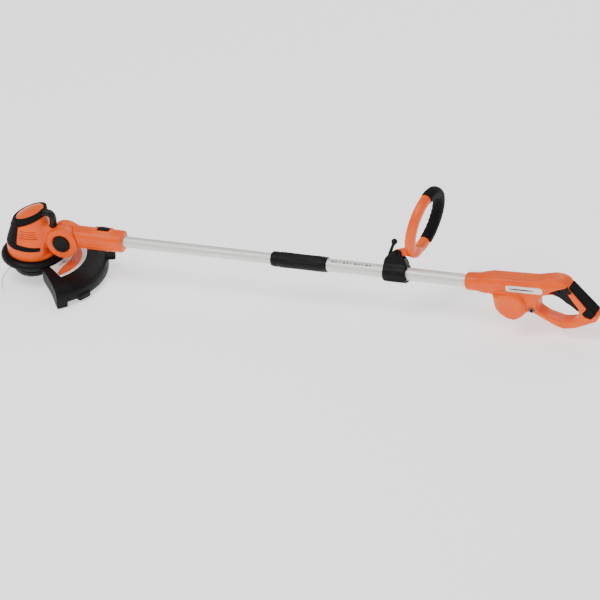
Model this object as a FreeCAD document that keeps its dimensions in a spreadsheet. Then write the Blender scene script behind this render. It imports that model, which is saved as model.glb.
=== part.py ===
import FreeCAD, Part

import math
import os
import re

import Sketcher

# A cordless string trimmer with a telescoping shaft. Millimetres, +Z up, X along the shaft from
# the cutting head (-X) to the rear handle (+X). The origin is below the middle of the machine,
# on the level of its lowest point. The battery pack is not part of it: only its dock is.

doc = FreeCAD.newDocument("string_trimmer")
Vector = FreeCAD.Vector
Rotation = FreeCAD.Rotation

# ------------------------------------------------------------------ driving dimensions

SIZES = [
    ("axis_x", -534.5, "tilt pivot's station, from the middle of the machine"),
    ("axis_z", 110.8, "height of the shaft's axis"),
    ("pivot_x", -3, "tilt pivot, from the station"),
    ("pivot_z", -7, "tilt pivot, from the shaft's axis"),
    ("head_angle", 5, "lean of the motor's axis from square to the shaft, degrees"),
    ("head_x", -85, "centre of the flange, from the station"),
    ("head_z", -50.3, "centre of the flange, from the shaft's axis"),
    ("hinge_x", 77.9, "tilt pivot in the head's own frame"),
    ("hinge_z", 50.3, "tilt pivot in the head's own frame"),
    ("drum_radius", 35, "half of the knuckle, on the head's side and on the neck's"),
    ("drum_width", 28, "reach of the knuckle to each side"),
    ("knuckle_gap", 0.3, "gap between the knuckle's halves and the middle plane"),
    ("wall", 2.8, "wall of the moulded shells"),
    ("housing_foot", 52, "radius of the motor housing at its foot"),
    ("housing_back", 40, "flat back of the motor housing"),
    ("cap_tilt", 25, "slope of the cap, falling to the front, degrees"),
    ("band_height", 14, "width of the black band round the cap"),
    ("band_proud", 1.8, "how far the bumper stands out of the housing"),
    ("can_radius", 26, "motor can"),
    ("shaft_radius", 4, "motor shaft"),
    ("flange_radius", 67, "collar between the housing and the guard"),
    ("flange_hole", 42, "opening of the collar"),
    ("guard_radius", 164, "outside of the guard"),
    ("guard_half_angle", 50, "half of the guard's sweep, degrees"),
    ("guard_depth", 38, "lower edge of the guard, below the flange"),
    ("guard_end_depth", 50, "lower corners of the guard's ends, below the flange"),
    ("spool_radius", 38, "line head"),
    ("knob_radius", 15, "bump knob"),
    ("line_radius", 1, "half of the cutting line's thickness"),
    ("tube_radius", 12, "lower tube, outside"),
    ("tube_wall", 1.3, "wall of both tubes"),
    ("outer_tube_radius", 14, "upper tube, outside"),
    ("outer_tube_start", 500, "front end of the upper tube"),
    ("outer_tube_end", 1010, "rear end of the upper tube"),
    ("lower_tube_start", 66, "front end of the lower tube"),
    ("lower_tube_end", 640, "rear end of the lower tube"),
    ("neck_radius", 22.5, "neck over the lower tube"),
    ("neck_start", 12, "front of the neck"),
    ("neck_end", 134, "rear end of the neck"),
    ("sleeve_start", 474, "front end of the lock sleeve"),
    ("sleeve_end", 602, "rear end of the lock sleeve"),
    ("sleeve_radius", 17, "lock sleeve"),
    ("clamp_x", 768, "middle of the front handle's clamp"),
    ("clamp_lean", 30, "swing of the front handle about the shaft, degrees"),
    ("clamp_half_width", 15, "half of the clamp's width"),
    ("loop_hinge_x", -10, "front handle's hinge, from the middle of its clamp"),
    ("loop_hinge_z", 42, "front handle's hinge, from the shaft's axis"),
    ("lever_x", -30, "cam lever's pin, from the middle of the clamp"),
    ("lever_z", 26, "cam lever's pin, from the shaft's axis"),
    ("loop_tilt", 15, "slope of the loop to the rear, degrees"),
    ("loop_offset", 32.3, "plane of the loop behind its hinge"),
    ("loop_centre", 84.2, "centre of the loop above its hinge"),
    ("loop_half_width", 59, "loop's centre line, half across"),
    ("loop_half_height", 66.6, "loop's centre line, half up"),
    ("loop_radius", 11.5, "thickness of the loop, half"),
    ("loop_rubber", 1.5, "rubber over the loop"),
    ("nose_x", 919, "front end of the rear housing"),
    ("body_half_width", 22, "rear housing, half across"),
    ("grip_half_width", 16.5, "rear grip, half across"),
    ("dock_half_width", 38, "battery dock, half across"),
    ("eyelet_x", 1070, "strap eyelet, from the station"),
    ("eyelet_z", -43, "strap eyelet, from the shaft's axis"),
    ("fit", 0.05, "running fit"),
    ("gap", 0.35, "gap round a moving piece"),
]

sheet = doc.addObject("Spreadsheet::Sheet", "Sizes")
for row, (alias, value, meaning) in enumerate(SIZES, start=1):
    sheet.set("A%d" % row, alias)
    sheet.set("B%d" % row, str(value))
    sheet.set("C%d" % row, meaning)
    sheet.setAlias("B%d" % row, alias)
doc.recompute()

NAMES = {alias for alias, _, _ in SIZES}


def formula(text):
    """A formula in plain size names, written the way the sheet's cells are called."""
    return re.sub(r"[a-z_]+", lambda m: "Sizes." + m[0] if m[0] in NAMES else m[0], str(text))


def size(text):
    """The value of such a formula."""
    words = re.sub(r"[a-z_]+", lambda m: "%r" % float(sheet.get(m[0])) if m[0] in NAMES else m[0], str(text))
    total = FreeCAD.Units.Quantity(words)
    return float(total.Value)


# ------------------------------------------------------------------ frames and helpers

# Each sub-part is drawn in one of these frames: its origin, and the turns that lead to it.
FRAMES = {
    "shaft": (("axis_x", "0", "axis_z"), Rotation()),
    "head": (("axis_x + head_x", "0", "axis_z + head_z"),
             Rotation(Vector(0, 1, 0), size("head_angle"))),
    "clamp": (("axis_x + clamp_x", "0", "axis_z"), Rotation(Vector(1, 0, 0), -size("clamp_lean"))),
}
FRAMES["loop"] = (
    ("axis_x + clamp_x + loop_hinge_x", "loop_hinge_z * sin(clamp_lean * 1deg)",
     "axis_z + loop_hinge_z * cos(clamp_lean * 1deg)"),
    FRAMES["clamp"][1].multiply(Rotation(Vector(0, 1, 0), size("loop_tilt"))))

TURNS = {
    "+z": Rotation(),
    "-z": Rotation(Vector(1, 0, 0), 180),
    "+x": Rotation(Vector(0, 1, 0), 90),
    "-x": Rotation(Vector(0, 1, 0), -90),
    "+y": Rotation(Vector(1, 0, 0), -90),
    "-y": Rotation(Vector(1, 0, 0), 90),
}
PARTS = []


def bind(piece, **formulas):
    for name, text in formulas.items():
        piece.setExpression(name, formula(text))
    return piece


def stand(piece, at=("0", "0", "0"), turn=Rotation()):
    piece.Placement = FreeCAD.Placement(Vector(0, 0, 0), turn)
    for letter, text in zip("xyz", at):
        if str(text) != "0":
            piece.setExpression("Placement.Base." + letter, formula(text))
    return piece


def cylinder(name, radius, height, at=("0", "0", "0"), along="+z", sweep="360"):
    piece = doc.addObject("Part::Cylinder", name)
    bind(piece, Radius=radius, Height=height, Angle=sweep)
    return stand(piece, at, TURNS[along])


def cone(name, foot, top, height, at=("0", "0", "0"), along="+z"):
    piece = doc.addObject("Part::Cone", name)
    bind(piece, Radius1=foot, Radius2=top, Height=height)
    return stand(piece, at, TURNS[along])


def box(name, length, width, height, at=("0", "0", "0"), turn=Rotation()):
    """A box whose low corner is at the given place."""
    piece = doc.addObject("Part::Box", name)
    bind(piece, Length=length, Width=width, Height=height)
    return stand(piece, at, turn)


def fuse(name, *pieces):
    piece = doc.addObject("Part::MultiFuse", name)
    piece.Shapes = list(pieces)
    piece.Refine = True
    return piece


def cut(name, base, *tools):
    tool = tools[0] if len(tools) == 1 else fuse(name + "_tools", *tools)
    piece = doc.addObject("Part::Cut", name)
    piece.Base = base
    piece.Tool = tool
    return piece


def common(name, *pieces):
    piece = doc.addObject("Part::MultiCommon", name)
    piece.Shapes = list(pieces)
    return piece


def ring(name, outer, inner, height, at=("0", "0", "0"), along="+z"):
    solid = cylinder(name + "_solid", outer, height, at, along)
    hole = cylinder(name + "_hole", inner, height, at, along)
    return cut(name, solid, hole)


def outline(sketch, corners):
    """A closed outline. A corner is (across, up), or (across, up, radius) where an arc leads to it;
    a positive radius has its centre on the left of the way round."""
    count = len(corners)
    spots = [Vector(size(c[0]), size(c[1]), 0) for c in corners]
    for index, corner in enumerate(corners):
        start = spots[index - 1]
        end = spots[index]
        if len(corner) == 2:
            sketch.addGeometry(Part.LineSegment(start, end), False)
            continue
        radius = size(corner[2])
        chord = end - start
        left = Vector(-chord.y, chord.x, 0).normalize() * math.copysign(1, radius)
        depth = math.sqrt(radius ** 2 - chord.Length ** 2 / 4)
        centre = (start + end) / 2 + left * depth
        middle = centre - left * abs(radius)
        sketch.addGeometry(Part.Arc(start, middle, end), False)
    for index, corner in enumerate(corners):
        before = (index - 1) % count
        sketch.addConstraint(Sketcher.Constraint(
            "Coincident", index, 3 - end_of(corner), before, end_of(corners[before])))
    for index, corner in enumerate(corners):
        end = end_of(corner)
        for kind, axis, text in (("DistanceX", -2, corner[0]), ("DistanceY", -1, corner[1])):
            if abs(size(text)) < 1e-9:
                sketch.addConstraint(Sketcher.Constraint("PointOnObject", index, end, axis))
                continue
            number = sketch.addConstraint(
                Sketcher.Constraint(kind, -1, 1, index, end, size(text)))
            sketch.setExpression("Constraints[%d]" % number, formula(text))
        if len(corner) == 3:
            number = sketch.addConstraint(Sketcher.Constraint("Radius", index, abs(size(corner[2]))))
            sketch.setExpression("Constraints[%d]" % number, formula("abs(%s)" % corner[2]))


def end_of(corner):
    """The point of an edge that is at its own corner: a clockwise arc is kept the other way round."""
    return 1 if len(corner) == 3 and size(corner[2]) < 0 else 2


def plane_of(body, role):
    return next(item for item in body.Origin.OriginFeatures if item.Role == role)


def new_body(name, corners, role):
    body = doc.addObject("PartDesign::Body", name)
    sketch = body.newObject("Sketcher::SketchObject", name + "_outline")
    sketch.AttachmentSupport = (plane_of(body, role), [""])
    sketch.MapMode = "FlatFace"
    outline(sketch, corners)
    return body, sketch


def turned(name, corners, sweep="360", start=0):
    """A body turned about Z from an outline of (radius, height) corners."""
    body, sketch = new_body(name, corners, "XZ_Plane")
    feature = body.newObject("PartDesign::Revolution", name + "_turn")
    feature.Profile = sketch
    feature.ReferenceAxis = (sketch, ["V_Axis"])
    bind(feature, Angle=sweep)
    if size(sweep) < 360:
        feature.Midplane = True
    body.Placement = FreeCAD.Placement(Vector(0, 0, 0), Rotation(Vector(0, 0, 1), start))
    return body


def turned_along_x(name, corners):
    """A body turned about X from an outline of (x, radius) corners."""
    body, sketch = new_body(name, corners, "XZ_Plane")
    feature = body.newObject("PartDesign::Revolution", name + "_turn")
    feature.Profile = sketch
    feature.ReferenceAxis = (sketch, ["H_Axis"])
    return body


def slab(name, corners, half_width, role="XZ_Plane"):
    """A body padded to both sides of the middle plane from a side view of (x, z) corners."""
    body, sketch = new_body(name, corners, role)
    feature = body.newObject("PartDesign::Pad", name + "_pad")
    feature.Profile = sketch
    feature.SideType = "Symmetric"
    bind(feature, Length="2 * (%s)" % half_width)
    return body


def group(name, *pieces):
    piece = doc.addObject("Part::Compound", name)
    piece.Links = list(pieces)
    return piece


def finish(label, piece, frame):
    """Name a sub-part, put it in its frame and list it."""
    if not piece.TypeId.startswith(("Part::Cut", "Part::Multi", "Part::Compound")):
        piece = group(label + "_piece", piece)
    origin, turn = FRAMES[frame]
    stand(piece, origin, turn)
    piece.Label = label
    PARTS.append(piece)
    return piece


# ------------------------------------------------------------------ motor head


def head_form(name, proud, foot="5", top="126"):
    """The motor housing's outside, or a copy that stands proud of it by some amount."""
    return turned(name, [
        ("0", foot),
        ("housing_foot + %s" % proud, foot),
        ("53.5 + %s" % proud, "20"),
        ("47.5 + %s" % proud, "50"),
        ("40 + %s" % proud, "77"),
        ("34 + %s" % proud, "104"),
        ("30 + %s" % proud, top),
        ("0", top)])


def above_cap(name, depth):
    """Everything above a plane that is parallel to the cap's top and the given depth below it."""
    slope = Rotation(Vector(0, 1, 0), -size("cap_tilt"))
    drop = "(%s) / cos(cap_tilt * 1deg)" % depth
    block = box(name, "240", "200", "120", ("-42 - 100 * cos(cap_tilt * 1deg)", "-100",
                                            "83 - 100 * sin(cap_tilt * 1deg) - " + drop), slope)
    return block


def flat_back(name, spare):
    """The space behind the housing's flat back, for the knuckle on the neck to turn in."""
    return box(name, "60", "140", "98 + 2 * (%s)" % spare,
               ("housing_back - (%s)" % spare, "-70", "14 - (%s)" % spare))


def make_motor_housing():
    outside = cut("housing_outside", head_form("housing_form", "0"),
                  above_cap("housing_top", "band_height"), flat_back("housing_flat", "0"))
    inside = cut("housing_inside", head_form("housing_core", "-wall", "8", "140"),
                 flat_back("housing_flat_core", "2.5"))
    shaft_hole = cylinder("housing_shaft_hole", "12", "20", ("0", "0", "0"))
    web = box("knuckle_web", "hinge_x - housing_back + 6", "20 - knuckle_gap", "57",
              ("housing_back - 6", "-20", "27"))
    drum = cylinder("knuckle_drum", "drum_radius", "drum_width - knuckle_gap",
                    ("hinge_x", "-drum_width", "hinge_z"), "+y")
    button_pocket = cylinder("tilt_button_pocket", "19.4", "9",
                             ("hinge_x", "-drum_width", "hinge_z"), "+y")
    head_pocket = cylinder("tilt_bolt_pocket", "8.4", "5",
                           ("hinge_x", "9 - drum_width", "hinge_z"), "+y")
    bolt_hole = cylinder("tilt_bolt_hole", "5 + fit", "drum_width",
                         ("hinge_x", "-drum_width", "hinge_z"), "+y")
    ratchet_pocket = ring("ratchet_pocket", "30", "20", "4",
                          ("hinge_x", "-4", "hinge_z"), "+y")
    slots = []
    for side, low in (("left", "-70"), ("right", "20")):
        for index in range(4):
            slots.append(box("vent_%s_%d" % (side, index), "42", "50", "2",
                             ("-13", low, "45 + %d * 6.5" % index)))
    for side, low in (("left", "-200"), ("right", "0")):
        half = box("housing_half_" + side, "400", "200", "300", ("-200", low, "-20"))
        shell = common("housing_skin_" + side, cut("housing_hollow_" + side, outside, inside), half)
        if side == "left":
            shell = fuse("housing_and_drum", shell, cut("knuckle_web_cut", web, inside), drum)
            tools = slots[:4] + [shaft_hole, button_pocket, head_pocket, bolt_hole, ratchet_pocket]
        else:
            tools = slots[4:] + [shaft_hole]
        finish("motor_housing_" + side, cut("housing_" + side, shell, *tools), "head")


def make_bumper_and_cap():
    skin = cut("bumper_skin", head_form("bumper_form", "band_proud", "17", "140"),
               head_form("bumper_core", "0", "0", "160"))
    top_core = head_form("band_core", "-4", "0", "160")
    top_skin = cut("band_skin", head_form("band_form", "band_proud", "17", "140"), top_core)
    upper = cut("band_upper", common("band_slab", top_skin, above_cap("band_low", "band_height")),
                above_cap("band_high", "0"))
    strip = cut("front_strip", common("front_strip_block", skin,
                                      box("front_strip_box", "54", "140", "120", ("-70", "-70", "30"))),
                above_cap("front_strip_top", "band_height"))
    lower = common("band_lower", skin,
                   box("band_lower_box", "106", "140", "12", ("-70", "-70", "30")))
    clear_back = box("bumper_back", "60", "140", "60", ("36", "-70", "10"))
    finish("bumper", cut("bumper_trim", fuse("bumper_form_all", upper, strip, lower), clear_back), "head")
    cap = cut("cap_slab", common("cap_block", head_form("cap_form", "-4", "0", "140"),
                                 above_cap("cap_low", "band_height")), above_cap("cap_high", "-2"))
    dome = cut("cap_dome", common("cap_dome_block", head_form("cap_dome_form", "-9", "0", "140"),
                                  above_cap("cap_dome_low", "0")), above_cap("cap_dome_high", "-7"))
    finish("motor_cap", fuse("cap_all", cap, dome), "head")


def make_cable_arch():
    """The short duct that carries the motor's leads from the cap to the knuckle."""
    path = [Vector(26, -9, 110), Vector(47, -9, 114), Vector(54, -9, 103), Vector(54, -9, 84)]
    duct = doc.addObject("Part::Feature", "arch_duct")
    duct.Shape = tube_along(rounded_wire(path, 5), 7.5)
    finish("cable_arch", cut("arch_trimmed", duct, head_form("arch_band", "band_proud", "17", "140")),
           "head")


def rounded_wire(points, least):
    """Straight runs joined by tangent arcs, each as large as its two runs allow."""
    edges = []
    start = points[0]
    radii = []
    for before, corner, after in zip(points, points[1:], points[2:]):
        back = before - corner
        ahead = after - corner
        turn = math.pi - back.getAngle(ahead)
        reach = 0.45 * min(back.Length, ahead.Length)
        radius = reach / math.tan(turn / 2)
        radii.append(radius)
        back.normalize()
        ahead.normalize()
        first = corner + back * reach
        last = corner + ahead * reach
        bisector = (back + ahead).normalize()
        middle = corner + bisector * (radius / math.cos(turn / 2) - radius)
        edges.append(Part.LineSegment(start, first).toShape())
        edges.append(Part.Arc(first, middle, last).toShape())
        start = last
    edges.append(Part.LineSegment(start, points[-1]).toShape())
    if min(radii) < least:
        print("tight bend", [round(radius, 1) for radius in radii])
    return Part.Wire(edges)


def tube_along(wire, radius):
    """A round bar along a wire, checked against its section times its length."""
    start = wire.Vertexes[0].Point
    heading = wire.Edges[0].tangentAt(wire.Edges[0].FirstParameter)
    profile = Part.Wire([Part.Circle(start, heading, radius).toShape()])
    bar = wire.makePipeShell([profile], True, False)
    expected = math.pi * radius ** 2 * wire.Length
    print("bar of %.1f mm, volume %.3f of the expected" % (wire.Length, bar.Volume / expected))
    return bar


def make_motor():
    can = ring("can_wall", "can_radius", "can_radius - 2", "50", ("0", "0", "12"))
    floor = ring("can_floor", "can_radius", "8.05", "6", ("0", "0", "12"))
    lid = ring("can_lid", "can_radius", "8.05", "6", ("0", "0", "56"))
    feet = ring("can_foot", "20", "12", "4", ("0", "0", "8"))
    finish("motor_can", fuse("can_all", can, floor, lid, feet), "head")
    for label, low in (("lower_bearing", "12"), ("upper_bearing", "56")):
        finish(label, ring(label + "_ring", "8.05", "shaft_radius + fit", "6", ("0", "0", low)), "head")
    shaft = cylinder("rotor_shaft", "shaft_radius", "94", ("0", "0", "-28"))
    core = cylinder("rotor_core", "can_radius - 5", "34", ("0", "0", "20"))
    finish("rotor", fuse("rotor_all", shaft, core), "head")
    hub = ring("fan_hub", "9", "shaft_radius", "9", ("0", "0", "-9"))
    plate = ring("fan_plate", "37", "shaft_radius", "1.6", ("0", "0", "-9"))
    blades = []
    for index in range(8):
        turn = Rotation(Vector(0, 0, 1), index * 45)
        blades.append(box("fan_blade_%d" % index, "28", "1.6", "9", ("0", "0", "-9"), turn))
    blades = cut("fan_blades", fuse("fan_blades_all", *blades),
                 cylinder("fan_bore", "shaft_radius", "20", ("0", "0", "-12")))
    finish("cooling_fan", fuse("fan_all", hub, plate, blades), "head")


# ------------------------------------------------------------------ guard and line head


CUTTER_ANGLE = -26


def make_guard():
    screw_spots = []
    for index in range(3):
        angle = math.radians(-32 + 32 * index)
        screw_spots.append((54 * math.cos(angle), 54 * math.sin(angle)))
    collar = turned("flange_turn", [
        ("flange_hole", "-12"), ("flange_radius - 5", "-12"), ("flange_radius", "-7", "5"),
        ("flange_radius", "0"), ("flange_radius - 5", "5", "5"), ("flange_hole", "5")])
    collar_holes = [cylinder("collar_screw_hole_%d" % index, "2", "12", spot + ("-16",))
                    for index, spot in enumerate(screw_spots)]
    finish("flange_collar", cut("flange_cut", collar, *collar_holes), "head")
    sweep = "2 * guard_half_angle"
    plate = turned("guard_plate", [
        ("46", "-15"), ("46", "-12"), ("flange_radius + 0.3", "-12"), ("flange_radius + 0.3", "-1"),
        ("120", "-4"), ("146", "-8"), ("guard_radius - 5", "-15"), ("guard_radius - 1", "-24"),
        ("guard_radius", "-guard_depth"), ("guard_radius - 3", "-guard_depth"),
        ("guard_radius - 4", "-24"), ("guard_radius - 8", "-17"), ("145", "-11"), ("120", "-7"),
        ("70.5", "-4"), ("70.5", "-15")], sweep)
    pieces = [plate]
    for name, side in (("near", -1), ("far", 1)):
        wall = turned("guard_end_" + name, [
            ("69", "-3"), ("120", "-5.5"), ("145.5", "-9.5"), ("guard_radius - 7", "-16.5"),
            ("guard_radius - 2.7", "-25"), ("guard_radius - 1.8", "-guard_end_depth"),
            ("150", "-48.5"), ("135", "-39"), ("119", "-34"), ("97", "-33"), ("80", "-32.5"),
            ("69", "-28")], "2", side * (size("guard_half_angle") - 1.3))
        corner = turned("guard_corner_" + name, [
            ("guard_radius - 2.6", "-30"), ("guard_radius - 0.8", "-30"),
            ("guard_radius - 0.4", "-guard_end_depth + 0.5"),
            ("guard_radius - 2.4", "-guard_end_depth + 0.5")],
            "11", side * (size("guard_half_angle") - 6))
        pieces += [wall, corner]
    pieces.append(turned("cutter_holder", [
        ("guard_radius - 12", "-38"), ("guard_radius - 2", "-30"), ("guard_radius + 4", "-33"),
        ("guard_radius + 4", "-44.5"), ("guard_radius - 12", "-44.5")], "12", CUTTER_ANGLE))
    pieces.append(turned("guard_lug", [
        ("guard_radius - 8", "-15"), ("guard_radius - 8", "-10"), ("guard_radius + 12", "-10"),
        ("guard_radius + 15", "-14"), ("guard_radius + 12", "-18"), ("guard_radius - 3", "-20")],
        "11", 21))
    holes = [cylinder("guard_screw_hole_%d" % index, "2.1", "12", spot + ("-16",))
             for index, spot in enumerate(screw_spots)]
    finish("guard", cut("guard_cut", fuse("guard_all", *pieces), *holes), "head")
    finish("guard_label", turned("guard_label_turn", [
        ("72", "-1.2"), ("117", "-3.75"), ("117", "-3.2"), ("72", "-0.65")], "72"), "head")
    blade = slab("blade_plate", [
        ("guard_radius - 26", "-46.1"), ("guard_radius - 22", "-46.3"), ("guard_radius - 1", "-46.3"),
        ("guard_radius - 1", "-44.5"), ("guard_radius - 22", "-44.5")], "7")
    finish("line_cutter", swung("line_cutter_place", blade, CUTTER_ANGLE), "head")
    screws = []
    for index, spot in enumerate(screw_spots):
        stem = cylinder("guard_screw_stem_%d" % index, "2", "9", spot + ("-16",))
        head = cone("guard_screw_head_%d" % index, "3.2", "3.8", "2.4", spot + ("-17.4",))
        screws.append(fuse("guard_screw_%d" % index, stem, head))
    finish("guard_screws", group("guard_screws_all", *screws), "head")


def swung(name, piece, angle):
    """A piece swung about the head's axis."""
    piece.Placement = FreeCAD.Placement(Vector(0, 0, 0), Rotation(Vector(0, 0, 1), angle))
    return group(name, piece)


LINE_ROUTE = [
    (-26.5, -26.5, -22), (-35, -36, -24.5), (-42, -48, -31), (-43, -67, -36.5), (-36, -88, -39.5),
    (-28, -103, -42)]


def make_line_head():
    hub = turned("spool_hub_turn", [
        ("shaft_radius", "-13"), ("shaft_radius", "-30"), ("12", "-30"), ("12", "-16"),
        ("spool_radius - 2.5", "-16"), ("spool_radius - 2.5", "-30"), ("spool_radius", "-30"),
        ("spool_radius", "-15", ), ("spool_radius - 2", "-13")])
    start = Vector(*LINE_ROUTE[0])
    outward = Vector(LINE_ROUTE[1]) - start
    eyelet_hole = doc.addObject("Part::Feature", "eyelet_hole")
    eyelet_hole.Shape = Part.makeCylinder(3.5, 24, start - outward.normalize() * 12, outward)
    finish("spool_hub", cut("spool_hub_cut", hub, eyelet_hole), "head")
    cover = turned("spool_cover_turn", [
        ("knob_radius + gap", "-30"), ("spool_radius + 1", "-30"), ("spool_radius + 1", "-38"),
        ("spool_radius - 3", "-43", "-5"), ("knob_radius + gap", "-43")])
    finish("spool_cover", cover, "head")
    reel = turned("reel_turn", [
        ("13", "-17"), ("31", "-17"), ("31", "-18.5"), ("16", "-18.5"), ("16", "-28"), ("31", "-28"),
        ("31", "-29.7"), ("13", "-29.7")])
    finish("line_reel", reel, "head")
    finish("line_winding", ring("winding_ring", "27", "16", "8.9", ("0", "0", "-27.7")), "head")
    bush = doc.addObject("Part::Feature", "eyelet_bush")
    bush.Shape = Part.makeCylinder(3.5, 6.2, start - outward * 2.2, outward).cut(
        Part.makeCylinder(1.6, 12, start - outward * 4, outward))
    finish("line_eyelet", group("line_eyelet_all", bush), "head")
    line = doc.addObject("Part::Feature", "line_bar")
    line.Shape = tube_along(rounded_wire([Vector(*spot) for spot in LINE_ROUTE], 10), size("line_radius"))
    finish("cutting_line", group("cutting_line_all", line), "head")
    knob = turned("knob_turn", [
        ("0", "-39"), ("knob_radius - 3", "-39"), ("knob_radius", "-42"), ("knob_radius", "-48"),
        ("knob_radius - 4", "-52", "-4"), ("0", "-52")])
    collar = ring("knob_collar", "knob_radius - 2", "knob_radius - 4", "4", ("0", "0", "-40"))
    finish("bump_knob", fuse("knob_all", knob, collar), "head")
    finish("bump_spring", ring("bump_spring_ring", "10", "8", "8.2", ("0", "0", "-38.7")), "head")


# ------------------------------------------------------------------ knuckle and neck


def make_knuckle():
    at_pivot = ("hinge_x", "-drum_width - 2.5", "hinge_z")
    disc = cylinder("tilt_button_disc", "19", "7.5", at_pivot, "+y")
    finish("tilt_button", cut("tilt_button_cut", disc,
                              cylinder("tilt_button_dish", "14", "1", at_pivot, "+y")), "head")
    finish("tilt_spring", ring("tilt_spring_ring", "13", "11", "3.8",
                               ("hinge_x", "5.1 - drum_width", "hinge_z"), "+y"), "head")
    plate = ring("ratchet_ring", "30", "20", "3.6", ("hinge_x", "-4", "hinge_z"), "+y")
    notches = []
    for index in range(12):
        angle = math.radians(index * 30)
        notches.append(cylinder("ratchet_notch_%d" % index, "2.5", "5",
                                ("hinge_x + 25 * %.6f" % math.cos(angle), "-4.5",
                                 "hinge_z + 25 * %.6f" % math.sin(angle)), "+y"))
    finish("tilt_ratchet", cut("ratchet_cut", plate, *notches), "head")
    shank = cylinder("tilt_bolt_shank", "5", "drum_width + 7", ("pivot_x", "11 - drum_width", "pivot_z"), "+y")
    head = cylinder("tilt_bolt_head", "8", "3.4", ("pivot_x", "9.4 - drum_width", "pivot_z"), "+y")
    finish("tilt_bolt", fuse("tilt_bolt_all", shank, head), "shaft")


def make_neck():
    tube = cylinder("neck_tube", "neck_radius", "neck_end - neck_start", ("neck_start", "0", "0"), "+x")
    boss = slab("neck_boss", [
        ("64", "12"), ("106", "12"), ("104", "26.5"), ("70", "26.5")], "11")
    outside = fuse("neck_outside", tube, boss)
    clearance = cylinder("neck_clearance", "drum_radius + 1", "60", ("pivot_x", "-60", "pivot_z"), "+y")
    bore = cylinder("neck_bore", "tube_radius + gap", "60", ("98", "0", "0"), "+x")
    pocket = cylinder("neck_pocket", "17.35", "32.8", ("65.6", "0", "0"), "+x")
    front_hole = cylinder("neck_front_hole", "9", "40", ("30", "0", "0"), "+x")
    slot = box("release_slot", "26.6", "12.6", "14", ("74.7", "-6.3", "16"))
    shelf = box("release_shelf", "30", "16", "4", ("73", "-8", "17.5"))
    cheek = cylinder("neck_cheek", "drum_radius", "17 - knuckle_gap",
                     ("pivot_x", "knuckle_gap", "pivot_z"), "+y")
    dome = cone("neck_dome", "drum_radius", "drum_radius - 9", "drum_width - 17",
                ("pivot_x", "17", "pivot_z"), "+y")
    groove = ring("dome_groove", "22", "20", "3", ("pivot_x", "drum_width - 1.5", "pivot_z"), "+y")
    bolt_hole = cylinder("cheek_bolt_hole", "5", "18", ("pivot_x", "0", "pivot_z"), "+y")
    screw_holes = []
    screws = []
    for index, spot in enumerate((("48", "-16"), ("118", "-17"), ("118", "17"))):
        screw_holes.append(cylinder("neck_screw_hole_%d" % index, "2", "26",
                                    (spot[0], "-8", spot[1]), "+y"))
        stem = cylinder("neck_screw_stem_%d" % index, "2", "16", (spot[0], "-6", spot[1]), "+y")
        head = cylinder("neck_screw_head_%d" % index, "3.6", "2.2", (spot[0], "10", spot[1]), "+y")
        screws.append(fuse("neck_screw_%d" % index, stem, head))
    head_holes = [cylinder("neck_head_hole_%d" % index, "3.6", "20", (spot[0], "10", spot[1]), "+y")
                  for index, spot in enumerate((("48", "-16"), ("118", "-17"), ("118", "17")))]
    left_half = box("neck_left_half", "400", "100", "200", ("-100", "-100", "-100"))
    right_half = box("neck_right_half", "400", "100", "200", ("-100", "0", "-100"))
    left = common("neck_left_form", outside, left_half)
    finish("neck_left", cut("neck_left_cut", left, clearance, bore, pocket, front_hole, slot,
                            *screw_holes), "shaft")
    right = fuse("neck_right_form", common("neck_right_tube", outside, right_half), cheek, dome)
    finish("neck_right", cut("neck_right_cut", right, bore, pocket, front_hole, slot, groove, bolt_hole,
                             *(screw_holes + head_holes)), "shaft")
    finish("neck_screws", group("neck_screws_all", *screws), "shaft")
    button = box("release_button_top", "26", "12", "8.4", ("75", "-6", "20.6"))
    ridge = box("release_button_ridge", "3", "12", "1", ("86.5", "-6", "29"))
    finish("release_button", fuse("release_button_all", button, ridge), "shaft")
    finish("release_spring", group("release_spring_all",
                                   cylinder("release_spring_coil", "3", "3", ("88", "0", "17.5"))), "shaft")


# ------------------------------------------------------------------ telescoping shaft


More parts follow.
